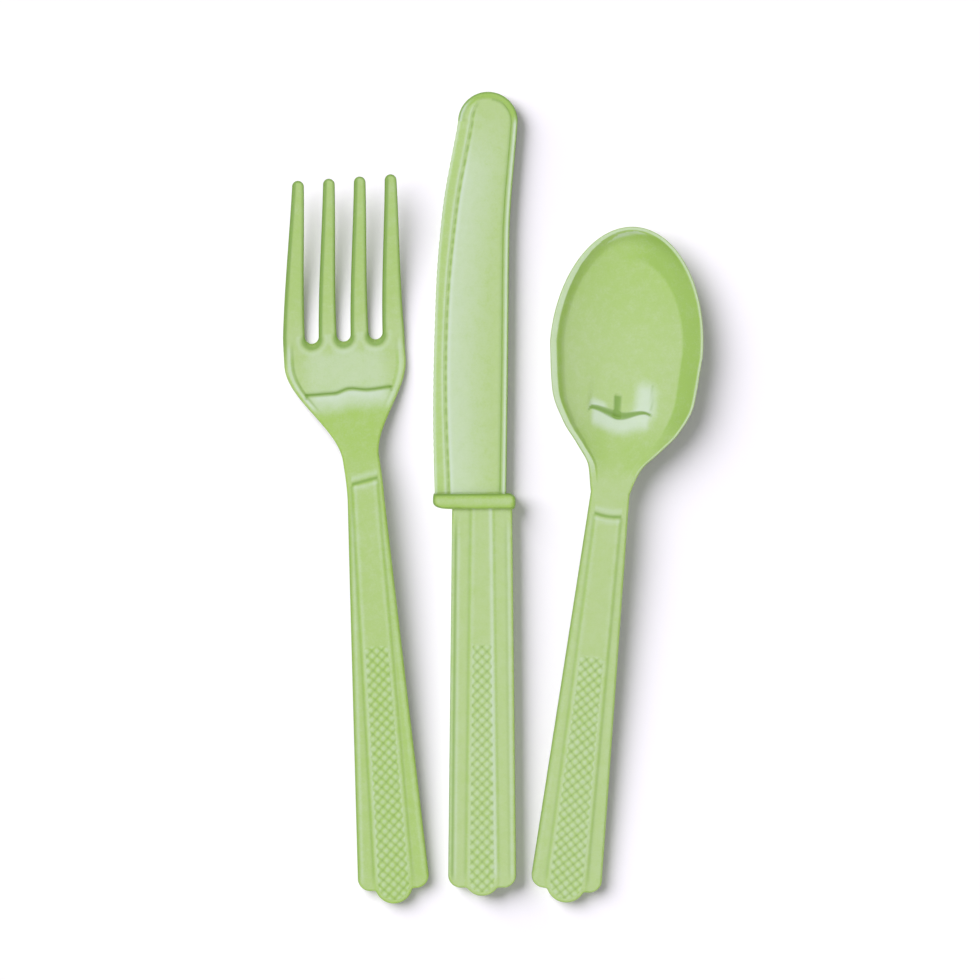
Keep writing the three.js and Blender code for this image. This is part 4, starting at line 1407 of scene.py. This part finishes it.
def plastic(context):
    """The plastic that the pieces share."""
    return bpy.data.materials.get("moulded_green") or green_plastic(context.scene.cutlery_look)


def sun_lamp(name, place, energy, spread):
    """A sun that shines from a place towards the middle of the table."""
    light = bpy.data.lights.new(name, "SUN")
    light.energy, light.angle = energy, spread
    holder = bpy.data.objects.new(name, light)
    holder.location = place
    holder.rotation_euler = (-Vector(place)).to_track_quat("-Z", "Y").to_euler()
    bpy.context.scene.collection.objects.link(holder)
    return holder


def camera_above():
    """A long lens straight above, at the height where the pieces' level fills the picture's width."""
    camera = bpy.data.cameras.new("camera")
    camera.lens, camera.sensor_width = LENS, SENSOR
    holder = bpy.data.objects.new("camera", camera)
    holder.location = (*PICTURE_MIDDLE, PICTURE_WIDTH * LENS / SENSOR + PIECE_LEVEL)
    bpy.context.scene.collection.objects.link(holder)
    return holder


def gathered(name, things):
    """A collection of some objects."""
    group = bpy.data.collections.new(name)
    for thing in things:
        group.objects.link(thing)
    return group


def shine_on(light, lit, shading):
    """Keeps a lamp's light to some objects, and its shadows to those of others."""
    light.light_linking.receiver_collection = gathered(f"{light.name}_on", lit)
    light.light_linking.blocker_collection = gathered(f"{light.name}_from", shading)


class AddStage(bpy.types.Operator):
    """Adds the white table, the lights and the camera"""

    bl_idname = "cutlery.add_stage"
    bl_label = "Stage"

    def execute(self, context):
        scene = context.scene
        look = scene.cutlery_look
        pieces = {name: scene.objects[f"{name}_moulding"] for name in BOARDS}
        white = white_table(look)
        boards = []
        for name, piece in pieces.items():
            corners = [(*corner, 0) for corner in BOARDS[name]]
            mesh = bpy.data.meshes.new(f"{name}_board")
            mesh.from_pydata(corners, [], [range(len(corners))])
            mesh.materials.append(white)
            board = bpy.data.objects.new(f"{name}_board", mesh)
            scene.collection.objects.link(board)
            boards.append(board)
            height = Vector(SUNS[name]).normalized().z
            light = sun_lamp(f"{name}_board_light", SUNS[name], look.table_light / height, SUN_SPREAD)
            shine_on(light, [board], [piece])

        soft = sun_lamp("soft_light", SOFT_PLACE, look.soft_light, SOFT_SPREAD)
        shine_on(soft, pieces.values(), [*boards, *pieces.values()])

        scene.world = white_room(look)
        scene.camera = camera_above()
        scene.view_settings.view_transform = "Standard"
        return {"FINISHED"}


class CUTLERY_PT_sidebar(bpy.types.Panel):
    """Lists the pieces and the stage"""

    bl_label = "Cutlery"
    bl_space_type = "VIEW_3D"
    bl_region_type = "UI"
    bl_category = "Cutlery"

    def draw(self, context):
        for operator in OPERATORS:
            self.layout.operator(operator.bl_idname)


OPERATORS = (AddFork, AddKnife, AddSpoon, AddStage)
GROUPS = {
    "cutlery_fork": ForkSettings,
    "cutlery_knife": KnifeSettings,
    "cutlery_spoon": SpoonSettings,
    "cutlery_look": LookSettings,
}


def register():
    for cls in (*GROUPS.values(), *OPERATORS, CUTLERY_PT_sidebar):
        bpy.utils.register_class(cls)
    for name, group in GROUPS.items():
        setattr(bpy.types.Scene, name, PointerProperty(type=group))


def unregister():
    for name in GROUPS:
        delattr(bpy.types.Scene, name)
    for cls in (CUTLERY_PT_sidebar, *OPERATORS[::-1], *GROUPS.values()):
        bpy.utils.unregister_class(cls)


def main():
    register()
    bpy.ops.cutlery.add_fork()
    bpy.ops.cutlery.add_knife()
    bpy.ops.cutlery.add_spoon()
    bpy.ops.cutlery.add_stage()


if __name__ == "__main__":
    main()
